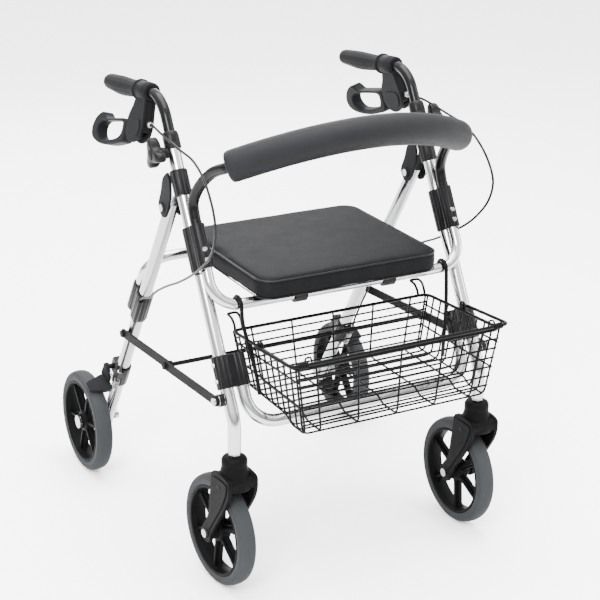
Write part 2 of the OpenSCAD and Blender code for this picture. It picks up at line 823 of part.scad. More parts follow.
// Point of the basket's wall: v runs from the front to the rear and h from the floor to the rim
function wall_x(h) = mix(floor_half_w, basket_w / 2, h);
function wall_y(v, h) = mix(mix(floor_front_y, rim_front_y, h), mix(floor_rear_y, rim_rear_y, h), v);
function floor_z(y) = y < step_y ? floor_front_z : floor_rear_z;
function wall_z(v, h) = mix(floor_z(wall_y(v, 0)), mix(rim_front_z, rim_rear_z, v), h);
function wall_point(side, v, h) = [side * wall_x(h), wall_y(v, h), wall_z(v, h)];
function end_point(x, v, h) = [x * wall_x(h) / wall_x(1), wall_y(v, h), wall_z(v, h)];

module wire(p, q, d = wire_d) {
    rod(p, q, d, 6);
}

module basket_sides() {
    color([0.12, 0.12, 0.12]) for (side = [LEFT, RIGHT]) {
        wire(wall_point(side, 0, 1), wall_point(side, 1, 1), rim_d);
        for (h = side_rails) wire(wall_point(side, 0, h), wall_point(side, 1, h));
        for (k = [1 : side_wires]) let (v = k / (side_wires + 1))
            wire(wall_point(side, v, 0), wall_point(side, v, 1));
    }
}

end_wires = [-160, -82, 0, 82, 160];
floor_wires = concat([-floor_half_w], [for (k = end_wires) k * floor_half_w / wall_x(1)], [floor_half_w]);

module basket_ends() {
    color([0.12, 0.12, 0.12]) for (v = [0, 1]) {
        wire(wall_point(LEFT, v, 1), wall_point(RIGHT, v, 1), rim_d);
        for (k = [1 : hoops - 1]) wire(wall_point(LEFT, v, k / hoops), wall_point(RIGHT, v, k / hoops));
        for (x = end_wires) wire(end_point(x, v, 0), end_point(x, v, 1));
    }
}

module basket_floor() {
    color([0.12, 0.12, 0.12]) {
        for (v = [0, 1]) wire(wall_point(LEFT, v, 0), wall_point(RIGHT, v, 0));
        for (k = [1 : side_wires]) let (v = k / (side_wires + 1))
            wire(wall_point(LEFT, v, 0), wall_point(RIGHT, v, 0));
        for (x = floor_wires) {
            wire([x, floor_front_y, floor_front_z], [x, step_y - 8, floor_front_z]);
            wire([x, step_y - 8, floor_front_z], [x, step_y + 8, floor_rear_z]);
            wire([x, step_y + 8, floor_rear_z], [x, floor_rear_y, floor_rear_z]);
        }
    }
}

hook_x = 204;
hook_r = slim_d / 2 + hanger_d / 2 + 0.5;
hook_y = foot_y + seat_run_s * sin(front_lean) - bracket_step * cos(front_lean);
hook_z = bend_z + seat_run_s * cos(front_lean) + bracket_step * sin(front_lean);

// Hooked over the seat tube, then down past the rim to the floor
hanger_route = concat([[hook_x, hook_y + hook_r + 2, hook_z - 14]],
    [for (k = [0 : 6]) [hook_x, hook_y + hook_r * cos(30 * k), hook_z + hook_r * sin(30 * k)]],
    [[203, -211, 470], [197, -222, 432], [189, -232, 385], [184.5, -237, 349]]);

// Staple-shaped hook on the rear of the rim
rear_hook_shape = [[180, 0, -1], [180, 2, 14], [180, 28, 22], [192, 28, 22], [192, 2, 14], [192, 0, -1]];
rear_hook_route = [for (p = rear_hook_shape) p + [0, rim_rear_y, rim_rear_z]];

// Heavy hooks over the front seat tube, and the small loops on the rim
module basket_hangers() {
    color([0.1, 0.1, 0.1]) both_sides() {
        swept(hanger_route, hanger_d, 8);
        swept(rear_hook_route, wire_d, 6);
        translate([basket_w / 2 + 3.5, bail_y, bail_z]) rotate([0, 90, 0])
            rotate_extrude() translate([8, 0]) circle(d = wire_d);
    }
}

bail_y = -268;
bail_z = 452;

// Wire handle that lies on the rim and swings up round the side loops
module basket_bail() {
    arm_x = basket_w / 2 + 12;
    front_y = rim_front_y - 5.5;
    front_z = rim_front_z + 9;
    half = [[arm_x - 5, bail_y, bail_z], [arm_x - 3, bail_y, bail_z], [arm_x, bail_y - 3, bail_z],
        [arm_x, front_y + 14, front_z], [arm_x - 4, front_y + 4, front_z], [arm_x - 14, front_y, front_z]];
    route = concat(half, [for (i = [len(half) - 1 : -1 : 0]) flipped(half[i])]);
    color([0.12, 0.12, 0.12]) {
        swept(route, rim_d - 0.3, 12);
        both_sides() translate([0, bail_y, bail_z]) rod_x(basket_w / 2 + 0.5, arm_x - 4, rim_d);
    }
}

// ---------- brake cables ----------

cable_d = 4.4;
cable_sides = 8;

// Point on the outer front of the rear leg, at distance r from its axis and s below the hinge
function leg_face(r, s) = [leg_x + r * sin(45), hinge_y - s * sin(rear_lean) - r * cos(45) * cos(rear_lean),
    hinge_z + s * cos(rear_lean) - r * cos(45) * sin(rear_lean)];

cable_upper = [[260, 29.5, 760.5], [260.4, 16, 761.8], [264.8, -20, 760.5], [266, -60, 756], [266, -101, 751],
    [265, -150, 745], [266, -190, 728], [268, -222, 700], [269, -241, 665], [267, -234, 628], [264, -208, 594],
    [264, -174, 566], [262, -140, 544]];
cable_lower = [[262, -139.5, 543.7], [262, -115, 529], [262, -80, 510], [262, -38, 490], [261, 10, 464],
    [260, 45, 440], leg_face(18.5, -232), leg_face(18.2, -270), leg_face(18.2, -300),
    leg_face(15, -340), leg_face(15, -400), leg_face(16, -430), leg_face(18.5, -449.5)];

module brake_cables_upper() {
    color([0.08, 0.08, 0.08]) both_sides() swept(smooth_route(cable_upper, 2), cable_d, cable_sides);
}

module brake_cables_lower() {
    color([0.08, 0.08, 0.08]) both_sides() swept(smooth_route(cable_lower, 1), cable_d, cable_sides);
}

front_leg(LEFT);  // front_leg_left
front_leg(RIGHT);  // front_leg_right
leg_collars();
upper_brackets();
middle_brackets();
lower_brackets();
seat_front_tube();
lower_front_tube();
frame_screws();
caster_stems();
pivot_bolts();
rear_leg(LEFT);  // rear_leg_left
rear_leg(RIGHT);  // rear_leg_right
rear_brackets();
seat_rear_tube();
brake_clamps();
rear_axles();
front_links();
cross_rod();
rear_link(LEFT);  // rear_link_left
rear_link(RIGHT);  // rear_link_right
caster_fork(LEFT);  // caster_fork_left
caster_fork(RIGHT);  // caster_fork_right
caster_axle(LEFT);  // caster_axle_left
caster_axle(RIGHT);  // caster_axle_right
front_tyre(LEFT);  // front_tyre_left
front_tyre(RIGHT);  // front_tyre_right
front_hub(LEFT);  // front_hub_left
front_hub(RIGHT);  // front_hub_right
rear_tyre(LEFT);  // rear_tyre_left
rear_tyre(RIGHT);  // rear_tyre_right
rear_hub(LEFT);  // rear_hub_left
rear_hub(RIGHT);  // rear_hub_right
rear_hub_cap(LEFT);  // rear_hub_cap_left
rear_hub_cap(RIGHT);  // rear_hub_cap_right
handlebar(LEFT);  // handlebar_left
handlebar(RIGHT);  // handlebar_right
grip(LEFT);  // grip_left
grip(RIGHT);  // grip_right
brake_cables_upper();
brake_cables_lower();
brake_housing(LEFT);  // brake_housing_left
brake_housing(RIGHT);  // brake_housing_right
brake_lever(LEFT);  // brake_lever_left
brake_lever(RIGHT);  // brake_lever_right
brake_shoe(LEFT);  // brake_shoe_left
brake_shoe(RIGHT);  // brake_shoe_right
height_knob(LEFT);  // height_knob_left
height_knob(RIGHT);  // height_knob_right
backrest_tube();
backrest_foam();
backrest_button(LEFT);  // backrest_button_left
backrest_button(RIGHT);  // backrest_button_right
seat_cushion();
seat_board();
basket_floor();
basket_sides();
basket_ends();
basket_hangers();
basket_bail();
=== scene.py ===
"""Looks of the folding walker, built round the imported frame. Metres, +Z up, the walker faces -Y."""

import json
import math
from math import cos, pi, radians, sin

import bmesh
import bpy
from mathutils import Matrix, Vector, noise


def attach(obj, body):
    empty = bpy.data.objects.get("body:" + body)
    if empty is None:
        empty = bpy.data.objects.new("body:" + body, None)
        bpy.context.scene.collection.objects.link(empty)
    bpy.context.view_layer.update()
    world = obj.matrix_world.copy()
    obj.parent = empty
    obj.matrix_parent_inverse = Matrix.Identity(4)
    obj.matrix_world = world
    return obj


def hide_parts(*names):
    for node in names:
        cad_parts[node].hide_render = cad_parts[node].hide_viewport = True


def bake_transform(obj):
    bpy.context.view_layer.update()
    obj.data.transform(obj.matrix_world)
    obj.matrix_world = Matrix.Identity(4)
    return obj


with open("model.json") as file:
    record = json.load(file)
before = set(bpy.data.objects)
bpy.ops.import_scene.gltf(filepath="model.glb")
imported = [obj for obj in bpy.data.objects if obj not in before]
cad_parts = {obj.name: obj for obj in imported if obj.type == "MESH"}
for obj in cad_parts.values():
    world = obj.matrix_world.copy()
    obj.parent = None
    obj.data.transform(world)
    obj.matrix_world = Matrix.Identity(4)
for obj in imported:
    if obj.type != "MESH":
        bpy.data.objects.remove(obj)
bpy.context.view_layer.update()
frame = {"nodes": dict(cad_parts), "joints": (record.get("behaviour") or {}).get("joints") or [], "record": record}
JOINTS = {j["name"]: j for j in frame["joints"]}
MM = 0.001
LEFT, RIGHT = -1, 1
SIDES = {"left": LEFT, "right": RIGHT}

# ---------- driving sizes, in millimetres ----------

LEG_X = 246                         # legs, out from the middle
FOOT_Y = -265                       # casters' stems, forward of the middle
BEND_Z = 321                        # bend in the front legs, above the floor
LEAN = 29.25                        # front legs above the bend, back from upright, in degrees
HANDLE_S = 566                      # handle's corner, along the leg from its bend
HANDLE_TURN = 90 - LEAN + 6         # handle, back from the leg, in degrees
HANDLE_R = 60                       # bend between leg and handle
BRAKE_ROLL = 15                     # brake body, turned round the handle, in degrees
BRACKET_STEP = 25                   # backrest and seat tube, forward of the leg
CROSS_STEP = 29                     # lower tube, inward of the leg
SLIM_D = 19                         # handle, seat and backrest tubes
HINGE_Y, HINGE_Z = [v / MM for v in JOINTS["fold"]["pos_m"][1:]]
AXLE = [v / MM for v in JOINTS["rear_wheel_spin_right"]["pos_m"]]
REAR_LEAN = math.degrees(math.atan2(AXLE[1] - HINGE_Y, HINGE_Z - AXLE[2]))
WHEEL_R = 100
TYRE_DEPTH = 18
TYRE_W = 32
RIM_EDGE = WHEEL_R - TYRE_DEPTH
TRAIL = 47                          # caster axle, behind its stem
STUD_S = 466                        # height knob, along the leg from its bend


# ---------- local frames ----------

def rot(axis, degrees):
    """Turn round an axis."""
    return Matrix.Rotation(radians(degrees), 4, axis)


def shift(x=0, y=0, z=0):
    """Move without turning."""
    return Matrix.Translation((x, y, z))


def front(s=0, back=0):
    """Stands on the sloping front leg, s up from its bend: +X out, +Y back, +Z up the leg."""
    return shift(LEG_X, FOOT_Y, BEND_Z) @ rot("X", -LEAN) @ shift(0, back, s)


def rear(s=0, back=0):
    """Stands on the rear leg, s up from the fold hinge."""
    return shift(LEG_X, HINGE_Y, HINGE_Z) @ rot("X", REAR_LEAN) @ shift(0, back, s)


def handle(along=0):
    """Stands on the handle: +Y down, +Z back along it."""
    return front(HANDLE_S) @ rot("X", -HANDLE_TURN) @ shift(0, 0, along)


def brake():
    """Stands on the handle like handle(), rolled as the brake body is."""
    return handle() @ rot("Z", -BRAKE_ROLL)


# ---------- camera and light ----------

UP = Vector((0, 0, 1))
LENS = 95.19
AZIMUTH, ELEVATION, ROLL = radians(-29.262), radians(21.058), radians(1.010)
DISTANCE = 2.8908
CAMERA_TARGET = Vector((0, -0.041, 0.42))
LIGHT_TARGET = (0, 0, 0.4)
SKY_STRENGTH = 3.1
SKY_LOW, SKY_HIGH = (0.26, 0.26, 0.27, 1), (1.5, 1.5, 1.5, 1)
# Each light: place in metres, size in metres, power in watts
LIGHTS = {
    "key": ((-1.9, -1.9, 2.4), (1.1, 1.1), 200),
    "fill": ((2.6, -1.2, 1.5), (0.8, 1.8), 60),
    "top": ((0, 0.2, 3.2), (2.6, 2.6), 340),
    "rim": ((0.6, 2.8, 1.6), (2.4, 1.0), 60),
}


def place_camera():
    """Puts the camera where the photograph was taken from."""
    data = bpy.data.cameras.new("camera")
    data.sensor_width = 36
    data.lens = LENS
    data.clip_start = 0.05
    camera = bpy.data.objects.new("camera", data)
    bpy.context.collection.objects.link(camera)
    back = Vector((sin(AZIMUTH) * cos(ELEVATION), -cos(AZIMUTH) * cos(ELEVATION), sin(ELEVATION)))
    right = (-back).cross(UP).normalized()
    up = right.cross(-back)
    turned_right = right * cos(ROLL) + up * sin(ROLL)
    turned_up = up * cos(ROLL) - right * sin(ROLL)
    place = CAMERA_TARGET + back * DISTANCE
    camera.matrix_world = Matrix((
        (turned_right.x, turned_up.x, back.x, place.x),
        (turned_right.y, turned_up.y, back.y, place.y),
        (turned_right.z, turned_up.z, back.z, place.z),
        (0, 0, 0, 1)))
    bpy.context.scene.camera = camera


def area_light(name, place, size, power):
    """A rectangular light that faces the walker."""
    data = bpy.data.lights.new(name, "AREA")
    data.shape = "RECTANGLE"
    data.size, data.size_y = size
    data.energy = power
    light = bpy.data.objects.new(name, data)
    light.location = place
    way = Vector(LIGHT_TARGET) - Vector(place)
    light.rotation_euler = way.to_track_quat("-Z", "Y").to_euler()
    bpy.context.collection.objects.link(light)


def light_studio():
    """A sky that is grey below and white above, and the four lights."""
    world = bpy.data.worlds.new("studio")
    bpy.context.scene.world = world
    world.use_nodes = True
    nodes, links = world.node_tree.nodes, world.node_tree.links
    background = nodes["Background"]
    background.inputs["Strength"].default_value = SKY_STRENGTH
    coords = nodes.new("ShaderNodeTexCoord")
    split = nodes.new("ShaderNodeSeparateXYZ")
    ramp = nodes.new("ShaderNodeValToRGB")
    low, high = ramp.color_ramp.elements
    low.position, low.color = 0.02, SKY_LOW
    high.position, high.color = 0.75, SKY_HIGH
    links.new(coords.outputs["Generated"], split.inputs["Vector"])
    links.new(split.outputs["Z"], ramp.inputs["Fac"])
    links.new(ramp.outputs["Color"], background.inputs["Color"])
    for name, (place, size, power) in LIGHTS.items():
        area_light(name, place, size, power)


def lay_floor():
    """Pale floor, just below the tyres."""
    bm = bmesh.new()
    bmesh.ops.create_grid(bm, x_segments=8, y_segments=8, size=14)
    mesh = bpy.data.meshes.new("floor")
    bm.to_mesh(mesh)
    bm.free()
    floor = bpy.data.objects.new("floor", mesh)
    floor.location.z = -0.0006
    bpy.context.collection.objects.link(floor)
    floor.data.materials.append(MATERIALS["floor"])


# ---------- materials ----------

def node_material(name, colour, rough, metal=0.0, spread=0.12, grain=900.0, bump=0.15, rough_spread=0.12,
                  coat=0.0, stretch=(1, 1, 1), cells=0.0, specular=0.5, mottle=14.0):
    """A principled surface whose colour, roughness and fine relief vary with object-space noise."""
    material = bpy.data.materials.new(name)
    material.use_nodes = True
    nodes, links = material.node_tree.nodes, material.node_tree.links
    shader = nodes["Principled BSDF"]
    shader.inputs["Metallic"].default_value = metal
    shader.inputs["Coat Weight"].default_value = coat
    shader.inputs["Specular IOR Level"].default_value = specular
    coords = nodes.new("ShaderNodeTexCoord")
    mapping = nodes.new("ShaderNodeMapping")
    mapping.inputs["Scale"].default_value = stretch
    links.new(coords.outputs["Object"], mapping.inputs["Vector"])
    broad = nodes.new("ShaderNodeTexNoise")
    broad.inputs["Scale"].default_value = mottle
    broad.inputs["Detail"].default_value = 6
    links.new(mapping.outputs["Vector"], broad.inputs["Vector"])
    ramp = nodes.new("ShaderNodeValToRGB")
    dark, light = ramp.color_ramp.elements
    dark.position, dark.color = 0.3, [c * (1 - spread) for c in colour] + [1]
    light.position, light.color = 0.72, [min(1, c * (1 + spread)) for c in colour] + [1]
    links.new(broad.outputs["Fac"], ramp.inputs["Fac"])
    links.new(ramp.outputs["Color"], shader.inputs["Base Color"])
    shine = nodes.new("ShaderNodeMapRange")
    shine.inputs["To Min"].default_value = max(0.03, rough - rough_spread)
    shine.inputs["To Max"].default_value = min(1, rough + rough_spread)
    links.new(broad.outputs["Fac"], shine.inputs["Value"])
    links.new(shine.outputs["Result"], shader.inputs["Roughness"])
    if cells:
        fine = nodes.new("ShaderNodeTexVoronoi")
        fine.inputs["Scale"].default_value = cells
        height = fine.outputs["Distance"]
    else:
        fine = nodes.new("ShaderNodeTexNoise")
        fine.inputs["Scale"].default_value = grain
        fine.inputs["Detail"].default_value = 3
        height = fine.outputs["Fac"]
    links.new(mapping.outputs["Vector"], fine.inputs["Vector"])
    relief = nodes.new("ShaderNodeBump")
    relief.inputs["Strength"].default_value = bump
    relief.inputs["Distance"].default_value = 0.0006
    links.new(height, relief.inputs["Height"])
    links.new(relief.outputs["Normal"], shader.inputs["Normal"])
    return material


MATERIALS = {
    "bright_tube": node_material("satin_tube", (0.38, 0.385, 0.395), 0.16, metal=1.0, spread=0.03, bump=0.04,
                                 stretch=(1, 1, 0.15), rough_spread=0.06),
    "grey_tube": node_material("grey_tube", (0.30, 0.305, 0.315), 0.22, metal=1.0, spread=0.04, bump=0.05,
                               stretch=(1, 1, 0.15), rough_spread=0.06),
    "steel": node_material("zinc_steel", (0.30, 0.30, 0.297), 0.26, metal=1.0, spread=0.08, bump=0.08),
    "bracket_plastic": node_material("moulded_black", (0.0040, 0.0041, 0.0045), 0.32, spread=0.12, bump=0.05,
                                     grain=1600, specular=0.07),
    "lever_plastic": node_material("lever_black", (0.0062, 0.0065, 0.0072), 0.5, spread=0.12, bump=0.08,
                                   grain=1500, specular=0.02),
    "black_tube": node_material("gloss_black", (0.0030, 0.0030, 0.0033), 0.22, spread=0.1, bump=0.03,
                                coat=0.04, specular=0.08),
    "strut_metal": node_material("strut_black", (0.0050, 0.0050, 0.0054), 0.5, spread=0.1, bump=0.1,
                                 specular=0.015),
    "grip_rubber": node_material("grip_rubber", (0.0062, 0.0065, 0.0070), 0.62, spread=0.1, bump=0.35,
                                 cells=900, specular=0.03),
    "tyre_rubber": node_material("grey_tyre", (0.020, 0.0215, 0.023), 0.60, spread=0.1, bump=0.3,
                                 grain=1100, specular=0.03),
    "wheel_plastic": node_material("wheel_black", (0.0030, 0.0030, 0.0033), 0.5, spread=0.14, bump=0.16,
                                   grain=1200, specular=0.02),
    "cable_jacket": node_material("cable_jacket", (0.0030, 0.0030, 0.0033), 0.35, spread=0.1, bump=0.1,
                                  specular=0.12),
    "foam": node_material("foam_sleeve", (0.0070, 0.0074, 0.0082), 0.5, spread=0.1, bump=0.5, cells=1500,
                          mottle=22, specular=0.06),
    "vinyl": node_material("black_vinyl", (0.0052, 0.0054, 0.0060), 0.5, spread=0.14, bump=0.45, cells=650,
                           rough_spread=0.08, mottle=30, specular=0.018),
    "board_plastic": node_material("board_black", (0.0040, 0.0040, 0.0042), 0.5, spread=0.1, bump=0.2,
                                   specular=0.12),
    "coated_wire": node_material("coated_wire", (0.0026, 0.0026, 0.0029), 0.33, spread=0.1, bump=0.1,
                                 specular=0.04),
    "seam": node_material("piping", (0.0035, 0.0035, 0.0038), 0.35, spread=0.1, bump=0.2, specular=0.12),
    "floor": node_material("pale_floor", (0.97, 0.97, 0.97), 0.7, spread=0.006, bump=0.02, rough_spread=0.03,
                           specular=0.1, mottle=2),
}


# ---------- mesh helpers ----------

STILL = Matrix.Identity(4)


def finish_mesh(name, bm, matrix, side, body, slot, nodes=(), bevel=0.0, smooth=40, parts=2, look=None):
    """Places a mesh drawn in millimetres, mirrored on the left, with its body, slot and material."""
    mirror = Matrix.Diagonal((side, 1, 1, 1))
    bm.transform(Matrix.Scale(MM, 4) @ mirror @ matrix)
    bmesh.ops.recalc_face_normals(bm, faces=bm.faces)
    bm.normal_update()
    for face in bm.faces:
        face.smooth = True
    for edge in bm.edges:
        if len(edge.link_faces) == 2 and edge.calc_face_angle(0) > radians(smooth):
            edge.smooth = False
    mesh = bpy.data.meshes.new(name)
    bm.to_mesh(mesh)
    bm.free()
    piece = bpy.data.objects.new(name, mesh)
    bpy.context.collection.objects.link(piece)
    piece.data.materials.append(MATERIALS[look or slot])
    if bevel:
        modifier = piece.modifiers.new("edges", "BEVEL")
        modifier.width = bevel * MM
        modifier.segments = parts
        modifier.limit_method = "ANGLE"
        modifier.angle_limit = radians(35)
        modifier.harden_normals = True
    if body:
        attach(piece, body)
    if nodes:
        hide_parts(*nodes)
    return piece


def join_rows(bm, a, b):
    """Faces between two rings of vertices."""
    count = len(a)
    for k in range(count):
        m = (k + 1) % count
        bm.faces.new((a[k], b[k], b[m], a[m]))


def ring_rows(bm, rows, cap=(True, True), loop=False):
    """Skins rings of points. The end rings are capped, or joined to each other if loop is set."""
    made = [[bm.verts.new(p) for p in row] for row in rows]
    for a, b in zip(made[:-1], made[1:]):
        join_rows(bm, a, b)
    if loop:
        join_rows(bm, made[-1], made[0])
        return
    if cap[0]:
        bm.faces.new(made[0])
    if cap[1]:
        bm.faces.new(made[-1][::-1])


def lathe(bm, profile, steps=64, matrix=STILL, closed=False):
    """Turns a profile of (radius, z) points round Z; a closed profile leaves its middle open."""
    rows = []
    for r, z in profile:
        rows.append([matrix @ Vector((r * cos(2 * pi * k / steps), r * sin(2 * pi * k / steps), z))
                     for k in range(steps)])
    ring_rows(bm, rows, loop=closed)


def drum(r, z1, z2, edge=0.8):
    """Profile of a solid drum with softened edges."""
    return [(r - edge, z1), (r - edge * 0.3, z1 + edge * 0.3), (r, z1 + edge), (r, z2 - edge),
            (r - edge * 0.3, z2 - edge * 0.3), (r - edge, z2)]


def catmull(p0, p1, p2, p3, t):
    """Point between p1 and p2 on the Catmull-Rom curve."""
    return 0.5 * (2 * p1 + (p2 - p0) * t + (2 * p0 - 5 * p1 + 4 * p2 - p3) * t * t
                  + (3 * p1 - p0 - 3 * p2 + p3) * t ** 3)


def smooth_closed(points, steps=6):
    """Catmull-Rom curve through a closed list of 2D points."""
    out = []
    n = len(points)
    for i in range(n):
        p0, p1, p2, p3 = [Vector(points[(i + k) % n]) for k in (-1, 0, 1, 2)]
        out += [catmull(p0, p1, p2, p3, k / steps) for k in range(steps)]
    return out


def smooth_open(points, steps=6):
    """Catmull-Rom curve through an open list of points."""
    pts = [Vector(p) for p in points]
    out = []
    for i in range(len(pts) - 1):
        p0, p1, p2, p3 = pts[max(i - 1, 0)], pts[i], pts[i + 1], pts[min(i + 2, len(pts) - 1)]
        out += [catmull(p0, p1, p2, p3, k / steps) for k in range(steps)]
    out.append(pts[-1])
    return out


def plate(bm, outline, x1, x2, matrix=STILL):
    """A flat outline of (y, z) points, made into a plate between x1 and x2."""
    rows = [[matrix @ Vector((x, y, z)) for y, z in outline] for x in (x1, x2)]
    ring_rows(bm, rows)


def ring_plate(bm, outer, inner, x1, x2, crown=0.0):
    """A plate between two outlines that have the same number of points, with softened edges."""
    rows = []
    centre = [(Vector(a) + Vector(b)) / 2 for a, b in zip(outer, inner)]
    levels = [(x1, 1), (x1 + crown, 0), (x2 - crown, 0), (x2, 1)]
    for outline, order in ((outer, levels), (inner, levels[::-1])):
        for x, inset in order:
            rows.append([Vector((x, *(Vector(p) + (c - Vector(p)).normalized() * crown * inset)))
                         for p, c in zip(outline, centre)])
    ring_rows(bm, rows, loop=True)


def tube(bm, route, radius, sides=16):
    """Sweeps a round section along the route; radius may be one number or one for each point."""
    route = [Vector(p) for p in route]
    n = len(route)
    radii = radius if hasattr(radius, "__len__") else [radius] * n
    angles = [2 * pi * k / sides for k in range(sides)]
    normal = None
    rows = []
    for i in range(n):
        way = (route[min(i + 1, n - 1)] - route[max(i - 1, 0)]).normalized()
        if normal is None:
            normal = way.orthogonal().normalized()
        normal = (normal - way * normal.dot(way)).normalized()
        across = way.cross(normal)
        rows.append([route[i] + radii[i] * (cos(a) * normal + sin(a) * across) for a in angles])
    ring_rows(bm, rows)


def loop_tube(bm, loop, r, sides, start=0.0):
    """Sweeps a round section along a closed loop; each ring starts that angle away from its top."""
    angles = [start + 2 * pi * k / sides for k in range(sides)]
    rows = []
    for i, p in enumerate(loop):
        way = (loop[(i + 1) % len(loop)] - loop[i - 1]).normalized()
        normal = (UP - way * UP.dot(way)).normalized()
        across = way.cross(normal)
        rows.append([p + r * (cos(a) * normal + sin(a) * across) for a in angles])
    ring_rows(bm, rows, loop=True)


def round_corner(before, corner, after, steps):
    """Curve from the point before a corner to the point after it."""
    shares = [k / steps for k in range(steps + 1)]
    return [(1 - t) ** 2 * before + 2 * t * (1 - t) * corner + t ** 2 * after for t in shares]


def box_block(bm, low, high):
    """A plain block between two opposite corners."""
    x1, y1, z1 = low
    x2, y2, z2 = high
    plate(bm, [(y1, z1), (y2, z1), (y2, z2), (y1, z2)], x1, x2)


# ---------- brake cables ----------

def leg_face(r, s):
    """Outer front of the rear leg, r from its axis and s up from the hinge."""
    return tuple(rear(s) @ Vector((r * cos(pi / 4), -r * cos(pi / 4), 0)))


CABLE_UPPER = [(260, 29.5, 760.5), (260.4, 16, 761.8), (264.8, -20, 760.5), (266, -60, 756),
               (266, -101, 751), (265, -150, 745), (266, -190, 728), (268, -222, 700), (269, -241, 665),
               (267, -234, 628), (264, -208, 594), (264, -174, 566), (262, -140, 544)]
CABLE_LOWER = [(262, -139.5, 543.7), (262, -115, 529), (262, -80, 510), (262, -38, 490), (261, 10, 464),
               (260, 45, 440), leg_face(18.5, -232), leg_face(18.2, -270), leg_face(18.2, -300),
               leg_face(15, -340), leg_face(15, -400), leg_face(16, -430), leg_face(18.5, -449.5)]
CABLE_R = 2.2


def make_cable(name, side, points, nodes):
    """One half of a cable."""
    route = [Vector((side * p.x, p.y, p.z)) for p in smooth_open(points, 8)]
    bm = bmesh.new()
    tube(bm, route, CABLE_R, 12)
    piece = finish_mesh(name, bm, STILL, RIGHT, None, "cable_jacket", nodes)
    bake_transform(piece)


def make_cables():
    """Both brake cables, each cut in two at its lowest point."""
    for name, side in SIDES.items():
        make_cable("brake_cable_upper_" + name, side, CABLE_UPPER,
                   ["brake_cables_upper"])
        make_cable("brake_cable_lower_" + name, side, CABLE_LOWER,
                   ["brake_cables_lower"])


# ---------- wheels ----------

def tyre_profile():
    """Half section of the tyre, from one rim edge over the tread to the other."""
    half, shoulder = TYRE_W / 2, 9
    left = [(RIM_EDGE, -half + 1.2), (RIM_EDGE + 2, -half + 0.3), (WHEEL_R - shoulder - 3, -half)]
    for k in range(1, 9):
        a = radians(90 * k / 9)
        left.append((WHEEL_R - shoulder - 1 + shoulder * sin(a), -half + shoulder * (1 - cos(a))))
    left += [(WHEEL_R - 0.35, -half + shoulder + 2), (WHEEL_R, -2.5)]
    return left + [(r, -z) for r, z in reversed(left)]


def wheel_place(centre, axis_turn):
    """Stands a wheel drawn round Z on its axle."""
    return shift(*centre) @ rot("Z", axis_turn) @ rot("Y", 90)


def make_tyre(name, centre, axis_turn, body, node):
    """Tyre with a fine raised line round each shoulder."""
    bm = bmesh.new()
    lathe(bm, tyre_profile(), 128, closed=True)
    for line_z in (-11.2, 11.2):
        lathe(bm, [(WHEEL_R - 9.2, line_z * 1.43), (WHEEL_R - 8.2, line_z * 1.445),
                   (WHEEL_R - 7.2, line_z * 1.42), (WHEEL_R - 8.2, line_z * 1.36)], 128, closed=True)
    finish_mesh(name, bm, wheel_place(centre, axis_turn), RIGHT, body, "tyre_rubber", [node], smooth=50)


def make_hub(name, centre, axis_turn, body, node, barrel, first_spoke):
    """Moulded hub: a channelled rim ring, six webbed spokes and a stepped barrel."""
    rim = RIM_EDGE
    bm = bmesh.new()
    lathe(bm, [(rim - 0.3, -14.5), (rim - 1.5, -15.2), (rim - 4.5, -15.2), (rim - 6, -14), (rim - 6.5, -9),
               (rim - 7.5, -7), (rim - 7.5, 7), (rim - 6.5, 9), (rim - 6, 14), (rim - 4.5, 15.2),
               (rim - 1.5, 15.2), (rim - 0.3, 14.5)], 96, closed=True)
    half = barrel / 2
    lathe(bm, [(5.1, -half), (13, -half), (14, -half + 1), (14.6, -11), (20, -9.5), (21, -8.5), (21, 8.5),
               (20, 9.5), (14.6, 11), (14, half - 1), (13, half), (5.1, half)], 64, closed=True)
    for k in range(6):
        turn = rot("Z", first_spoke + 60 * k)
        for x1, x2, wide in ((-2, 2, 8.5), (-8, 8, 3.2)):
            outline = [(17, -wide * 0.85), (rim - 14, -wide * 0.8), (rim - 5.5, -wide * 1.7),
                       (rim - 5.5, wide * 1.7), (rim - 14, wide * 0.8), (17, wide * 0.85)]
            rows = [[turn @ Vector((r, w, z)) for r, w in outline] for z in (x1, x2)]
            ring_rows(bm, rows)
    finish_mesh(name, bm, wheel_place(centre, axis_turn), RIGHT, body, "wheel_plastic", [node], bevel=0.9)


# The left caster stands turned a little at rest, in degrees
CASTER_TURN = {"left": 4, "right": 0}
FRONT_BARREL, REAR_BARREL = 40, 32
# Where each wheel's first spoke stands, in degrees
FRONT_SPOKE = {"left": 7, "right": 54}
REAR_SPOKE = 20


def make_wheels():
    """A tyre and a hub at each corner."""
    for name in SIDES:
        for end, turn, barrel, spoke in (("front", CASTER_TURN[name], FRONT_BARREL, FRONT_SPOKE[name]),
                                         ("rear", 0, REAR_BARREL, REAR_SPOKE)):
            where = [v / MM for v in JOINTS[end + "_wheel_spin_" + name]["pos_m"]]
            body = end + "_wheel_" + name
            tyre, hub = end + "_tyre_" + name, end + "_hub_" + name
            make_tyre(tyre + "_skin", where, turn, body, tyre)
            make_hub(hub + "_skin", where, turn, body, hub, barrel, spoke)


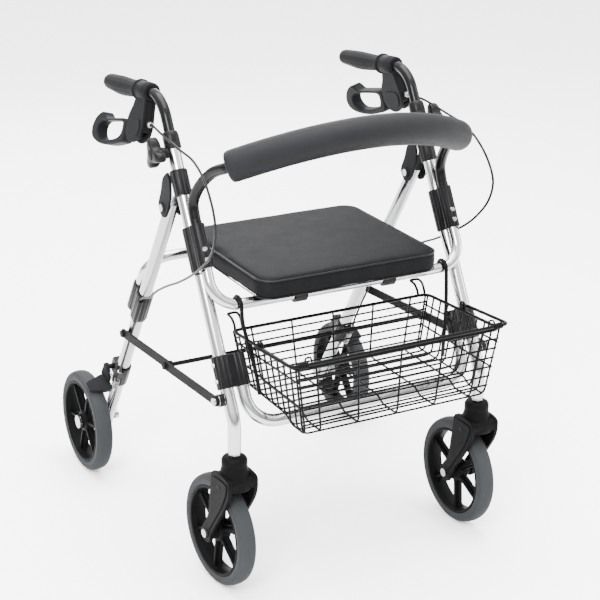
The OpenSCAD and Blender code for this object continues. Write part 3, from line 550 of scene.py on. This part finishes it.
def make_forks():
    """Caster forks: a stepped dome over two ribbed legs."""
    for name, side in SIDES.items():
        place = rot("Z", -CASTER_TURN[name])
        bm = bmesh.new()
        lathe(bm, [(6.1, 205), (22, 205), (23, 207), (22.2, 243), (21.6, 244), (21.6, 246.5), (22.4, 247.5),
                   (22, 255), (20, 258.5), (16.5, 260.6), (6.1, 261)], 64, closed=True)
        lathe(bm, [(6.1, 204.5), (30.5, 204.5), (31.5, 207), (30.5, 215), (27.5, 225), (24.2, 233),
                   (22.3, 241), (6.1, 241)], 64, closed=True)
        outline = smooth_closed([(-26, 228), (-30, 214), (-27, 196), (-16, 174), (8, 138), (TRAIL - 17, 104),
                                 (TRAIL - 12, 88), (TRAIL, 82.5), (TRAIL + 12, 88), (TRAIL + 17, 101),
                                 (41, 138), (35, 176), (30, 205), (26, 228), (0, 232)], 5)
        for x1, x2 in ((-29, -22.5), (22.5, 29)):
            plate(bm, outline, x1, x2)
        rib = smooth_closed([(-20, 222), (-23, 210), (-12, 182), (14, 142), (TRAIL - 8, 108),
                             (TRAIL + 8, 108), (32, 142), (27, 180), (22, 210), (19, 222)], 4)
        for x1, x2 in ((-30.6, -28), (28, 30.6)):
            plate(bm, rib, x1, x2)
        crown = smooth_closed([(-29, 212), (-26, 226), (0, 229), (25, 226), (29, 212), (24, 207),
                               (-24, 207)], 4)
        plate(bm, crown, -28, 28)
        finish_mesh("caster_fork_%s_skin" % name, bm, shift(LEG_X, FOOT_Y, 0) @ place, side, "caster_" + name,
                    "wheel_plastic", ["caster_fork_" + name], bevel=1.6, parts=3)


# ---------- brackets ----------

def ridged_sleeve(bm, bore, outer, z1, z2, ridges=18, at=(0, 0)):
    """A moulded sleeve with shallow ridges along it and softened ends."""
    depth, steps, top = 0.7, 144, 1.2
    rows = []
    levels = [(z1, bore, 0), (z1, outer - top, 0), (z1 + top * 0.4, outer - top * 0.3, 0.4),
              (z1 + top, outer, 1), (z2 - top, outer, 1), (z2 - top * 0.4, outer - top * 0.3, 0.4),
              (z2, outer - top, 0), (z2, bore, 0)]
    for z, r, share in levels:
        row = []
        for k in range(steps):
            a = 2 * pi * k / steps
            wave = max(0, cos(ridges * a)) ** 3
            radius = r + share * depth * (wave - 0.5)
            row.append(Vector((at[0] + radius * cos(a), at[1] + radius * sin(a), z)))
        rows.append(row)
    ring_rows(bm, rows, loop=True)


def make_brackets():
    """Every moulded bracket on the legs."""
    for name, side in SIDES.items():
        # Pair of sleeves that joins front leg, seat tube and backrest
        bm = bmesh.new()
        ridged_sleeve(bm, 11.6, 15.4, 259, 335)
        ridged_sleeve(bm, 9.8, 12.8, 259, 335, ridges=14, at=(0, -BRACKET_STEP))
        for x in (-8.5, 8.5):
            box_block(bm, (x - 2, -BRACKET_STEP + 6, 260), (x + 2, -8, 334))
        finish_mesh("middle_bracket_" + name, bm, front(), side, "front_frame", "bracket_plastic",
                    ["middle_brackets"], smooth=28)
        # Pair of sleeves that joins front leg and lower tube
        bm = bmesh.new()
        ridged_sleeve(bm, 11.6, 15.3, 58, 114)
        ridged_sleeve(bm, 11.1, 14.7, 58, 114, ridges=16, at=(-CROSS_STEP, 0))
        for y in (-9.5, 9.5):
            box_block(bm, (-20, y - 2, 59.5), (-9, y + 2, 112.5))
        finish_mesh("lower_bracket_" + name, bm, front(), side, "front_frame", "bracket_plastic",
                    ["lower_brackets"], smooth=28)
        # Sleeves on the rear leg and the rear seat tube, with the cable clip
        bm = bmesh.new()
        ridged_sleeve(bm, 12.1, 15.6, -300, -232)
        ridged_sleeve(bm, 9.6, 12.7, -300, -232, ridges=14, at=(0, 24))
        for x in (-8.5, 8.5):
            box_block(bm, (x - 2, 8, -299), (x + 2, 20, -233))
        lathe(bm, [(2.5, -296), (4.2, -296), (4.6, -294), (4.6, -240), (4.2, -238), (2.5, -238)], 24,
              shift(12.9, -12.9, 0), closed=True)
        finish_mesh("rear_bracket_" + name, bm, rear(), side, "rear_frame", "bracket_plastic",
                    ["rear_brackets"], smooth=28)
        make_hinge_bracket(name, side)
        make_collar(name, side)


def make_hinge_bracket(name, side):
    """Sleeve on the front leg and the two ears that hold the rear leg's hinge."""
    hinge = front().inverted() @ Vector((LEG_X, HINGE_Y, HINGE_Z))
    up, back = hinge.z, hinge.y
    bm = bmesh.new()
    ridged_sleeve(bm, 11.6, 15.2, up + 4, up + 49, ridges=16)
    finish_mesh("upper_sleeve_" + name, bm, front(), side, "front_frame", "bracket_plastic", bevel=0.8,
                smooth=28)
    bm = bmesh.new()
    ear = smooth_closed([(16, 4), (12, 14), (-6, 27), (-24, 44), (-40, 49), (-50, 48), (-51, 30), (-40, 9),
                         (-22, -6), (-13, -12), (0, -17), (12, -12)], 6)
    for x1, x2 in ((-17, -12.5), (12.5, 17)):
        plate(bm, [(back + y, up + z) for y, z in ear], x1, x2)
        boss = shift(0, back, up) @ rot("Y", 90)
        lathe(bm, drum(11, x1 - 1.2, x2 + 1.2, 1.2), 48, boss)
    finish_mesh("upper_bracket_" + name, bm, front(), side, "front_frame", "bracket_plastic",
                ["upper_brackets"], bevel=0.8, smooth=28, look="lever_plastic")


def make_collar(name, side):
    """Collar at the top of the leg, with the boss that the height knob's stud goes through."""
    bm = bmesh.new()
    lathe(bm, [(11.6, 471), (13.6, 471), (14.6, 472.2), (14.6, 480), (14.1, 481), (14.5, 482.5), (14.2, 494),
               (13.2, 499.5), (11.6, 501.4), (9.75, 501.4), (9.75, 482), (11.6, 482)], 64, closed=True)
    lathe(bm, [(4.1, 11.8), (8.6, 11.8), (9.2, 13), (9.2, 17), (8.4, 18), (4.1, 18)], 48,
          shift(0, 0, STUD_S) @ rot("Y", 90), closed=True)
    box_block(bm, (11.7, -5.5, STUD_S), (14.2, 5.5, 474))
    finish_mesh("leg_collar_" + name, bm, front(), side, "front_frame", "bracket_plastic", ["leg_collars"],
                smooth=35)


# ---------- handles and brakes ----------

def make_grip(name, side):
    """Ergonomic grip: a ring, a swelling palm rest and a rounded, slightly drooping end."""
    bm = bmesh.new()
    profile = [(9.5, 82), (17.5, 82), (19, 83.2), (19, 86.6), (17.6, 88), (14.9, 88.8), (14.4, 92)]
    palm_start, palm_length = 92, 136
    # Share of the way along the palm rest, and radius there
    swell = [(0.12, 14.7), (0.28, 15.9), (0.45, 17.0), (0.6, 17.0), (0.74, 15.8), (0.86, 14.8), (0.94, 14.2)]
    profile += [(r, palm_start + palm_length * t) for t, r in swell]
    profile += [(13.0, 226), (10.6, 229.6), (6.5, 231.8), (0.01, 232.6)]
    steps = 72
    angles = [2 * pi * k / steps for k in range(steps)]
    rows = []
    for r, z in profile:
        arch = sin(pi * max(0, min(1, (z - palm_start) / 120)))
        flat = 1 - 0.08 * arch
        ribs = 0.35 if 100 < z < 222 else 0
        rows.append([Vector((r * cos(a) * flat + ribs * cos(a) * cos(12 * a), r * sin(a) + 1.6 * arch, z))
                     for a in angles])
    ring_rows(bm, rows, cap=(False, False))
    finish_mesh("grip_%s_skin" % name, bm, handle(), side, "handle_" + name, "grip_rubber", ["grip_" + name],
                smooth=60)


def make_handlebar(name, side):
    """Tube from inside the leg, round its bend and into the grip."""
    bm = bmesh.new()
    corner = HANDLE_S - HANDLE_R * math.tan(radians(HANDLE_TURN / 2))
    turns = [radians(HANDLE_TURN * k / 24) for k in range(25)]
    bend = [(HANDLE_R * (1 - cos(a)), corner + HANDLE_R * sin(a)) for a in turns]
    route = [front() @ Vector((0, back, s)) for back, s in [(0, 250), (0, 400), (0, corner - 20)] + bend]
    route.append(handle(211).translation)
    tube(bm, route, SLIM_D / 2, 32)
    finish_mesh("handlebar_%s_skin" % name, bm, STILL, side, "handle_" + name, "black_tube",
                ["handlebar_" + name], smooth=60)


def make_housing(name, side):
    """Clamp ring and hanging cheeks of the brake body."""
    bm = bmesh.new()
    lathe(bm, [(9.6, 39), (15, 39), (16.8, 41.5), (17.2, 58), (17, 79), (16, 81), (9.6, 81)], 64, closed=True)
    cheek = smooth_closed([(2, 44), (14, 39), (34, 35), (56, 31), (68, 32), (79, 38), (89, 55), (91, 72),
                           (86, 88), (74, 96.5), (56, 97), (44, 94), (28, 84), (14, 79), (2, 74)], 6)
    for x1, x2 in ((-11, -6.2), (6.2, 11)):
        plate(bm, cheek, x1, x2)
    web = smooth_closed([(10, 47), (30, 38), (62, 33), (70, 38), (60, 48), (46, 50), (44, 90), (30, 82),
                         (14, 75)], 5)
    plate(bm, web, -7, 7)
    lathe(bm, drum(7.2, -12.2, 12.2, 1.2), 40, shift(0, 74, 62) @ rot("Y", 90))
    cover = smooth_closed([(50, 46), (66, 40), (78, 50), (80, 84), (62, 88), (52, 78)], 5)
    for x in (-11.6, 11.6):
        plate(bm, cover, x - 0.9, x + 0.9)
    finish_mesh("brake_housing_%s_skin" % name, bm, brake(), side, "handle_" + name, "bracket_plastic",
                ["brake_housing_" + name], bevel=1.2, parts=3, look="lever_plastic")


def make_adjuster(name, side):
    """Silver knurled nut where the cable leaves the brake body."""
    bm = bmesh.new()
    adjuster = shift(0, 54, 0)
    knurls, knurl_depth = 14, 0.45
    angles = [2 * pi * k / 84 for k in range(84)]
    rows = []
    for z, r, share in ((19, 3.2, 0), (20, 4.6, 1), (23, 5.4, 1), (30, 5.4, 1), (31.5, 4.4, 0), (36, 4.2, 0)):
        radii = [r + share * knurl_depth * cos(knurls * a) for a in angles]
        rows.append([adjuster @ Vector((radius * cos(a), radius * sin(a), z))
                     for radius, a in zip(radii, angles)])
    ring_rows(bm, rows)
    finish_mesh("cable_adjuster_" + name, bm, brake(), side, "handle_" + name, "steel", smooth=30)


def make_lever(name, side):
    """Loop that the hand squeezes, and the arm that holds it in the brake body."""
    outer = smooth_closed([(56, 106), (59, 150), (63, 186), (60, 200), (55.5, 213), (66, 234), (82, 246),
                           (95, 247), (105, 239), (111, 217), (112, 190), (109, 160), (102, 128), (94, 104),
                           (75, 100)], 8)
    inner = smooth_closed([(62, 118), (64, 150), (68, 184), (70, 197), (72, 206), (79, 217), (86, 221),
                           (94, 220), (101, 212), (104, 200), (103, 184), (100, 163), (94, 138), (86, 121),
                           (74, 114)], 8)
    bm = bmesh.new()
    ring_plate(bm, outer, inner, -11, 11, crown=2.2)
    arm = smooth_closed([(68, 54), (64, 70), (62, 112), (76, 116), (90, 112), (86, 74), (80, 54)], 5)
    plate(bm, arm, -5.4, 5.4)
    finish_mesh("brake_lever_%s_skin" % name, bm, brake(), side, "brake_lever_" + name, "lever_plastic",
                ["brake_lever_" + name], bevel=0.7, smooth=45)


def make_knob(name, side):
    """Three-lobed clamp knob with a domed cap and finger scallops."""
    place = front(STUD_S) @ rot("Y", 90)
    bm = bmesh.new()
    steps = 120
    rows = []
    for z, r, reach in ((24, 11, 7), (25, 12.5, 11), (26.5, 13.2, 14.5), (29, 13.6, 16), (38, 13.6, 16),
                        (41, 13.2, 15.2), (43.2, 12.2, 13), (44.4, 10.5, 10)):
        row = []
        for k in range(steps):
            a = 2 * pi * k / steps
            lobe = (0.5 + 0.5 * cos(3 * a)) ** 1.7
            row.append(Vector(((r + reach * lobe) * cos(a + pi), (r + reach * lobe) * sin(a + pi), z)))
        rows.append(row)
    ring_rows(bm, rows)
    lathe(bm, [(4, 18.5), (10.4, 18.5), (11, 20), (10.4, 25.5), (4, 25.5)], 48, closed=True)
    lathe(bm, [(9.6, 44), (9.2, 45.4), (6, 46.4), (0.01, 46.8)], 48)
    finish_mesh("height_knob_%s_skin" % name, bm, place, side, "height_knob_" + name, "bracket_plastic",
                ["height_knob_" + name], smooth=50, bevel=0.4)


# Where the brake cable comes down in front of the rear leg
CABLE_TIP = (12.9, -12.9)


def make_brake_clamp(name, side):
    """Clamp on the rear leg that holds the cable's end and the arm's pivot."""
    bm = bmesh.new()
    ridged_sleeve(bm, 12.1, 15.4, -498, -448, ridges=14)
    box_block(bm, (-8.5, 9, -493), (8.5, 31, -461))
    box_block(bm, (6, -17.5, -470), (18, -3, -450))
    lathe(bm, drum(5.2, 8, 18, 0.8), 32, rear().inverted() @ rear(-478, 22) @ rot("Y", 90))
    finish_mesh("brake_clamp_" + name, bm, rear(), side, "rear_frame", "bracket_plastic", ["brake_clamps"],
                bevel=1.0, smooth=28)


def make_brake_hardware(name, side):
    """The cable's adjusting nuts, the spring and the clamp's screw."""
    bm = bmesh.new()
    tip = shift(*CABLE_TIP, 0)
    lathe(bm, drum(4.4, -456, -449.2, 0.8), 32, tip)
    lathe(bm, drum(3.4, -474, -456, 0.6), 24, tip)
    lathe(bm, drum(4.2, 17.4, 20.5, 0.8), 32, shift(0, 6, -480) @ rot("Y", 90))
    spring = [Vector((CABLE_TIP[0] + 5.2 * cos(2 * pi * t / 12), CABLE_TIP[1] + 5.2 * sin(2 * pi * t / 12),
                      -474 - 0.42 * t)) for t in range(12 * 6)]
    tube(bm, spring, 0.7, 8)
    finish_mesh("brake_hardware_" + name, bm, rear(), side, "rear_frame", "steel", smooth=40)


def make_brake_shoe(name, side):
    """Arm from its pivot to the tyre, and the shoe on it."""
    bm = bmesh.new()
    pivot = [v / MM for v in JOINTS["brake_shoe_pivot_right"]["pos_m"]]
    lathe(bm, drum(8.6, LEG_X + 17, LEG_X + 25.5, 1.2), 40, shift(0, pivot[1], pivot[2]) @ rot("Y", 90))
    arm = smooth_closed([(pivot[1] - 8, pivot[2] + 2), (pivot[1] - 2, pivot[2] + 8),
                         (pivot[1] + 7, pivot[2] + 2), (262, 212), (258, 202), (244, 197.5), (233, 203),
                         (228, 216)], 6)
    plate(bm, arm, LEG_X + 17.5, LEG_X + 25)
    # The shoe is a wedge: thin over the outer edge of the tyre and thick where it meets the arm
    face_r = WHEEL_R + 3.4
    rows = []
    for x, depth, start, span in ((AXLE[0] + 15, 3.5, 112, 11), (AXLE[0] + 8, 5.5, 110.5, 14),
                                  (AXLE[0] - 4, 9, 109.5, 17), (AXLE[0] - 13, 13, 109, 19),
                                  (LEG_X + 18, 15, 109, 19)):
        angles = [radians(start + span * k / 8) for k in range(9)]
        edge = [(face_r, a) for a in angles] + [(face_r + depth, a) for a in angles[::-1]]
        rows.append([Vector((x, AXLE[1] + r * cos(a), AXLE[2] + r * sin(a))) for r, a in edge])
    ring_rows(bm, rows)
    finish_mesh("brake_shoe_%s_skin" % name, bm, STILL, side, "brake_shoe_" + name, "lever_plastic",
                ["brake_shoe_" + name], bevel=1.4, parts=3)


# ---------- backrest ----------

FOAM_HALF = 224
FOAM_R = 27


def foam_point(x):
    """Middle of the foam sleeve at x, on a shallow arc."""
    return Vector((x, -268 + 0.00143 * x * x, 791 - 0.00102 * x * x))


def make_backrest():
    """Bent tube and the foam sleeve on it."""
    in_bracket, above_it, higher = [front(s, -BRACKET_STEP).translation for s in (299, 342, 346)]
    start = [above_it, higher, (245.5, -111, 661), (241, -127, 692), (233, -158, 722), foam_point(FOAM_HALF)]
    side_route = [in_bracket] + smooth_open(start, 6)
    middle = [foam_point(FOAM_HALF * (1 - k / 16)) for k in range(1, 32)]
    route = side_route + middle + [Vector((-p.x, p.y, p.z)) for p in reversed(side_route)]
    bm = bmesh.new()
    tube(bm, route, SLIM_D / 2, 32)
    finish_mesh("backrest_tube_skin", bm, STILL, RIGHT, "backrest", "black_tube", ["backrest_tube"])
    bm = bmesh.new()
    ends = [(0.0, 12), (0.4, 22), (1.6, 24.8), (4.0, 26.3), (8, 26.9)]
    stations = [(-FOAM_HALF + d, r) for d, r in ends]
    count = 60
    stations += [(-FOAM_HALF + 12 + (2 * FOAM_HALF - 24) * k / count, FOAM_R) for k in range(count + 1)]
    stations += [(-x, r) for x, r in reversed(stations[:len(ends)])]
    radii = [r + (0.25 * noise.noise(Vector((x * 0.03, 1, 1))) if r == FOAM_R else 0) for x, r in stations]
    tube(bm, [foam_point(x) for x, r in stations], radii, 64)
    piece = finish_mesh("backrest_foam_skin", bm, STILL, RIGHT, "backrest", "foam", ["backrest_foam"],
                        smooth=60)


# ---------- seat ----------

SEAT_X, SEAT_FRONT, SEAT_BACK = 177, -230, 84
SEAT_LOW, SEAT_HIGH = 509.4, 548
SEAT_CORNER = 28
CLOTH_VOXEL = 0.0055
CLOTH_FRAMES = 20
PRESSURE = 4.0
SWELL_CAP = 0.0022


def seat_outline(inset, r=SEAT_CORNER, per_corner=8, per_side=14):
    """Points round the seat with round corners, evenly enough for cloth."""
    half_x, y1, y2 = SEAT_X - inset, SEAT_FRONT + inset, SEAT_BACK - inset
    out = []
    corners = [(half_x - r, y1 + r, -90), (half_x - r, y2 - r, 0), (-half_x + r, y2 - r, 90),
               (-half_x + r, y1 + r, 180)]
    for i, (cx, cy, start) in enumerate(corners):
        for k in range(per_corner + 1):
            a = radians(start + 90 * k / per_corner)
            out.append(Vector((cx + r * cos(a), cy + r * sin(a))))
        nx, ny, nstart = corners[(i + 1) % 4]
        a = radians(nstart)
        last, following = out[-1], Vector((nx + r * cos(a), ny + r * sin(a)))
        out += [last.lerp(following, k / per_side) for k in range(1, per_side)]
    return out


def seat_block(inset, low, high):
    """Closed block that follows the seat's outline, with softly rounded top and bottom edges."""
    bm = bmesh.new()
    rows = []
    levels = [(low, 3.5), (low + 1.5, 1), (low + 4, 0), (low + 12, 0), (high - 12, 0), (high - 5, 0.2),
              (high - 2, 1.4), (high - 0.4, 4)]
    for z, extra in levels:
        d = inset + extra
        rows.append([Vector((p.x, p.y, z)) for p in seat_outline(d, SEAT_CORNER - d * 0.6)])
    y = (SEAT_FRONT + SEAT_BACK) / 2
    upper = [[Vector((p.x * share, y + (p.y - y) * share, high)) for p in rows[-1]]
             for share in (0.9, 0.78, 0.64, 0.5, 0.36, 0.22, 0.1)]
    lower = [[Vector((p.x * share, y + (p.y - y) * share, low)) for p in rows[0]]
             for share in (0.1, 0.3, 0.5, 0.7, 0.88)]
    ring_rows(bm, lower + rows + upper)
    return bm


def inflate(piece):
    """Swells the pad as filled cloth, with its underside held flat, and keeps the result.

    A point moves outward or up by SWELL_CAP at the most, so that the cover doesn't leave its piping.
    """
    bpy.context.view_layer.objects.active = piece
    remesh = piece.modifiers.new("even", "REMESH")
    remesh.mode = "VOXEL"
    remesh.voxel_size = CLOTH_VOXEL
    bpy.ops.object.modifier_apply(modifier=remesh.name)
    rest = [v.co.copy() for v in piece.data.vertices]
    cloth = piece.modifiers.new("fill", "CLOTH")
    cloth.settings.use_pressure = True
    cloth.settings.uniform_pressure_force = PRESSURE
    cloth.settings.effector_weights.gravity = 0
    cloth.settings.tension_stiffness = 30
    cloth.settings.compression_stiffness = 30
    cloth.settings.shear_stiffness = 15
    cloth.settings.bending_stiffness = 6
    cloth.point_cache.frame_start = 1
    cloth.point_cache.frame_end = CLOTH_FRAMES
    scene = bpy.context.scene
    for number in range(1, CLOTH_FRAMES + 1):
        scene.frame_set(number)
    shaped = piece.evaluated_get(bpy.context.evaluated_depsgraph_get()).data
    moved = [v.co.copy() for v in shaped.vertices]
    piece.modifiers.remove(cloth)
    scene.frame_set(1)
    low = SEAT_LOW * MM
    for vertex, a, b in zip(piece.data.vertices, rest, moved):
        step = b - a
        outward = 1 if a.x > 0 else -1
        step.x = max(0, step.x * outward) * outward
        step.y = 0
        if step.length > SWELL_CAP:
            step *= SWELL_CAP / step.length
        place = a + step
        place.z = max(place.z, low + 0.0004)
        vertex.co = place


def make_seat():
    """Padded cushion, with piping round its top edge and a hem under its sides."""
    bm = seat_block(1.0, SEAT_LOW + 1, SEAT_HIGH - 2.0)
    cushion = finish_mesh("seat_cushion_skin", bm, STILL, RIGHT, None, "vinyl")
    inflate(cushion)
    for polygon in cushion.data.polygons:
        polygon.use_smooth = True
    smooth = cushion.modifiers.new("soften", "SMOOTH")
    smooth.factor = 0.5
    smooth.iterations = 3
    surface = cushion.modifiers.new("surface", "SUBSURF")
    surface.levels = surface.render_levels = 1
    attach(cushion, "seat")
    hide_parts("seat_cushion")
    for name, z, inset, r in (("seat_piping", SEAT_HIGH - 5.0, 1.9, 1.5),
                              ("seat_hem", SEAT_LOW + 3.2, 1.6, 1.2)):
        bm = bmesh.new()
        edge = [Vector((p.x, p.y, z)) for p in seat_outline(inset)]
        loop_tube(bm, edge, r, 10, start=pi / 10)
        finish_mesh(name, bm, STILL, RIGHT, "seat", "vinyl", smooth=80, look="seam")


# ---------- basket ----------

RIM = {"half_x": 197, "front": (-386, 453), "rear": (-160, 439)}
BASE = {"half_x": 178, "front": -379, "rear": -168, "front_z": 333, "rear_z": 343, "step_y": -325}
# Heights of the side rails, as shares of the wall
SIDE_RAILS = (0.42, 0.8)
END_STEPS = 7
SIDE_WIRES = 9
PIVOT_Y, PIVOT_Z = -268, 452
BAIL_X, BAIL_Y, BAIL_Z = 209, -391.5, 462
WIRE_R, RIM_R, HANGER_R, STAPLE_R = 1.8, 2.9, 3.4, 2.4


def mix(a, b, t):
    """Value between a and b."""
    return a + (b - a) * t


def wall_x(h):
    """Half width of the basket at height h, from 0 at its floor to 1 at its rim."""
    return mix(BASE["half_x"], RIM["half_x"], h)


def wall_y(v, h):
    """Place along the basket: v is 0 at its front and 1 at its rear."""
    return mix(mix(BASE["front"], RIM["front"][0], h), mix(BASE["rear"], RIM["rear"][0], h), v)


def wall_point(x_share, v, h):
    """Point on the basket's walls; x_share goes from -1 on the left to 1 on the right."""
    base_z = BASE["front_z"] if wall_y(v, 0) < BASE["step_y"] else BASE["rear_z"]
    rim_z = mix(RIM["front"][1], RIM["rear"][1], v)
    return Vector((x_share * wall_x(h), wall_y(v, h), mix(base_z, rim_z, h)))


def rounded_loop(corners, r):
    """Closed loop of points through four corners, with small round corners."""
    out = []
    n = len(corners)
    for i, corner in enumerate(corners):
        before = (corners[i - 1] - corner).normalized()
        after = (corners[(i + 1) % n] - corner).normalized()
        out += round_corner(corner + before * r, corner, corner + after * r, 6)
    return out


def wire_piece(name, body, r, loops=(), routes=(), nodes=(), sides=10):
    """One piece made of many round wires: closed loops and open routes."""
    bm = bmesh.new()
    for loop in loops:
        loop_tube(bm, loop, r, sides)
    for route in routes:
        tube(bm, route, r, sides)
    finish_mesh(name, bm, STILL, RIGHT, body, "coated_wire", nodes, smooth=70)


def bent(points, r=9):
    """Open wire route with rounded bends."""
    pts = [Vector(p) for p in points]
    out = [pts[0]]
    for i in range(1, len(pts) - 1):
        before, after = pts[i - 1] - pts[i], pts[i + 1] - pts[i]
        reach = min(r, before.length * 0.45, after.length * 0.45)
        a, b = pts[i] + before.normalized() * reach, pts[i] + after.normalized() * reach
        out += round_corner(a, pts[i], b, 5)
    out.append(pts[-1])
    return out


def coil(bm, centre, axis, radius, turns, wire_r, side):
    """A few turns of wire wound round an axis."""
    axis = Vector(axis).normalized()
    one = axis.orthogonal().normalized()
    two = axis.cross(one)
    steps = int(20 * turns)
    route = []
    for k in range(steps + 1):
        turn = 2 * pi * turns * k / steps
        p = Vector(centre) + radius * (cos(turn) * one + sin(turn) * two)
        p += axis * (k / steps - 0.5) * turns * 2.1 * wire_r
        route.append((side * p.x, p.y, p.z))
    tube(bm, route, wire_r, 8)


def make_basket_mesh():
    """Rails, rim and the bent wires that make the floor and the walls."""
    rails = [[wall_point(-1, v, k / END_STEPS), wall_point(1, v, k / END_STEPS)]
             for v in (0, 1) for k in range(1, END_STEPS)]
    rails += [[wall_point(side, 0, h), wall_point(side, 1, h)] for side in (LEFT, RIGHT) for h in SIDE_RAILS]
    wire_piece("basket_rails", "basket", WIRE_R, routes=rails, nodes=["basket_sides", "basket_ends"])
    rim = rounded_loop([wall_point(x, v, 1) for x, v in ((-1, 0), (1, 0), (1, 1), (-1, 1))], 18)
    wire_piece("basket_rim", "basket", RIM_R, loops=[rim], sides=14)
    wires = []
    for v in (0.015, *[k / (SIDE_WIRES + 1) for k in range(1, SIDE_WIRES + 1)], 0.985):
        wires.append(bent([wall_point(s, v, h) for s, h in ((-1, 1), (-1, 0), (1, 0), (1, 1))], 12))
    step = BASE["step_y"]
    for share in (-0.985, -0.82, -0.42, 0, 0.42, 0.82, 0.985):
        x = share * BASE["half_x"]
        wires.append(bent([wall_point(share, 0, 1), wall_point(share, 0, 0),
                           (x, step - 8, BASE["front_z"]), (x, step + 8, BASE["rear_z"]),
                           wall_point(share, 1, 0), wall_point(share, 1, 1)], 12))
    wire_piece("basket_wires", "basket", WIRE_R, routes=wires, nodes=["basket_floor"])


def make_hangers():
    """Thick wires that hook over the seat's front tube and run down the basket's sides."""
    y, z = [v / MM for v in JOINTS["seat_flip"]["pos_m"][1:]]
    r = SLIM_D / 2 + HANGER_R + 0.5
    arc = [(204, y + r * cos(radians(18 * k)), z + r * sin(radians(18 * k))) for k in range(11)]
    down = smooth_open([arc[-1], (203, -211, 470), (197, -222, 432), (189, -232, 385), (184.5, -237, 349)], 6)
    points = [(204, y + r + 2, z - 14)] + arc + [tuple(p) for p in down[1:]]
    hang = [[Vector((side * p[0], p[1], p[2])) for p in points] for side in (LEFT, RIGHT)]
    wire_piece("basket_hanger_hooks", "basket", HANGER_R, routes=hang, nodes=["basket_hangers"], sides=14)


def make_basket_loops():
    """Staples at the rear corners, and the eyes and coils that the wire handle turns in."""
    bm = bmesh.new()
    staple = [(178, 0, -1), (178, 3, 9), (177, 12, 19), (176, 27, 21), (194, 27, 21), (193, 12, 19),
              (192, 3, 9), (192, 0, -1)]
    rear_y, rear_z = RIM["rear"]
    for side in (LEFT, RIGHT):
        tube(bm, [(side * x, rear_y + y, rear_z + z) for x, y, z in bent(staple, 5)], STAPLE_R, 12)
        ring = [(side * 200.5, PIVOT_Y + 8 * cos(2 * pi * k / 32), PIVOT_Z + 8 * sin(2 * pi * k / 32))
                for k in range(34)]
        tube(bm, ring, 1.9, 10)
        coil(bm, (200.5, PIVOT_Y, PIVOT_Z), (1, 0, 0), 4.6, 3, 1.3, side)
    finish_mesh("basket_loops", bm, STILL, RIGHT, "basket", "coated_wire", smooth=70)


def make_bail():
    """Wire handle that swings, with a coil and a catch near each front corner."""
    half = [(197.5, PIVOT_Y, PIVOT_Z), (BAIL_X, PIVOT_Y, PIVOT_Z), (BAIL_X, BAIL_Y, BAIL_Z)]
    bm = bmesh.new()
    tube(bm, bent([(-x, y, z) for x, y, z in half] + half[::-1], 13), RIM_R, 14)
    for side in (LEFT, RIGHT):
        coil(bm, (188, BAIL_Y, BAIL_Z), (1, 0, 0.06), RIM_R + 1.3, 5, 1.5, side)
        catch = [(side * x, BAIL_Y + y, BAIL_Z + z) for x, y, z in
                 bent([(183, 3, -1), (182, 6, 9), (172, 6, 10), (170, 3, -1)], 4)]
        tube(bm, catch, 1.7, 10)
    finish_mesh("basket_bail_skin", bm, STILL, RIGHT, "basket_bail", "coated_wire", ["basket_bail"],
                smooth=70)


# ---------- carried-over metal ----------

def make_spacers():
    """Black collars on the front pivots of the folding struts."""
    y, z = [v / MM for v in JOINTS["front_strut_pivot"]["pos_m"][1:]]
    for name, side in SIDES.items():
        bm = bmesh.new()
        lathe(bm, drum(10.8, LEG_X + 11.2, LEG_X + 21.7, 1.5), 48, shift(0, y, z) @ rot("Y", 90))
        finish_mesh("pivot_spacer_" + name, bm, STILL, side, "front_frame", "steel",
                    look="bracket_plastic")


def paint_frame():
    """Gives each CAD node its material, and soft edges to those that are shown."""
    slots = {part["node"]: part["material_slot"] for part in frame["record"]["subparts"]}
    for node, piece in frame["nodes"].items():
        piece.data.materials.clear()
        piece.data.materials.append(MATERIALS[slots[node]])
        if not piece.hide_render:
            modifier = piece.modifiers.new("edges", "BEVEL")
            modifier.width = 0.0006
            modifier.segments = 2
            modifier.limit_method = "ANGLE"
            modifier.angle_limit = radians(50)


place_camera()
make_cables()
light_studio()
lay_floor()
make_wheels()
make_forks()
make_brackets()
for name, side in SIDES.items():
    for make in (make_grip, make_handlebar, make_housing, make_adjuster, make_lever, make_knob,
                 make_brake_clamp, make_brake_hardware, make_brake_shoe):
        make(name, side)
make_backrest()
make_seat()
make_basket_mesh()
make_hangers()
make_basket_loops()
make_bail()
make_spacers()
paint_frame()

bpy.context.view_layer.update()
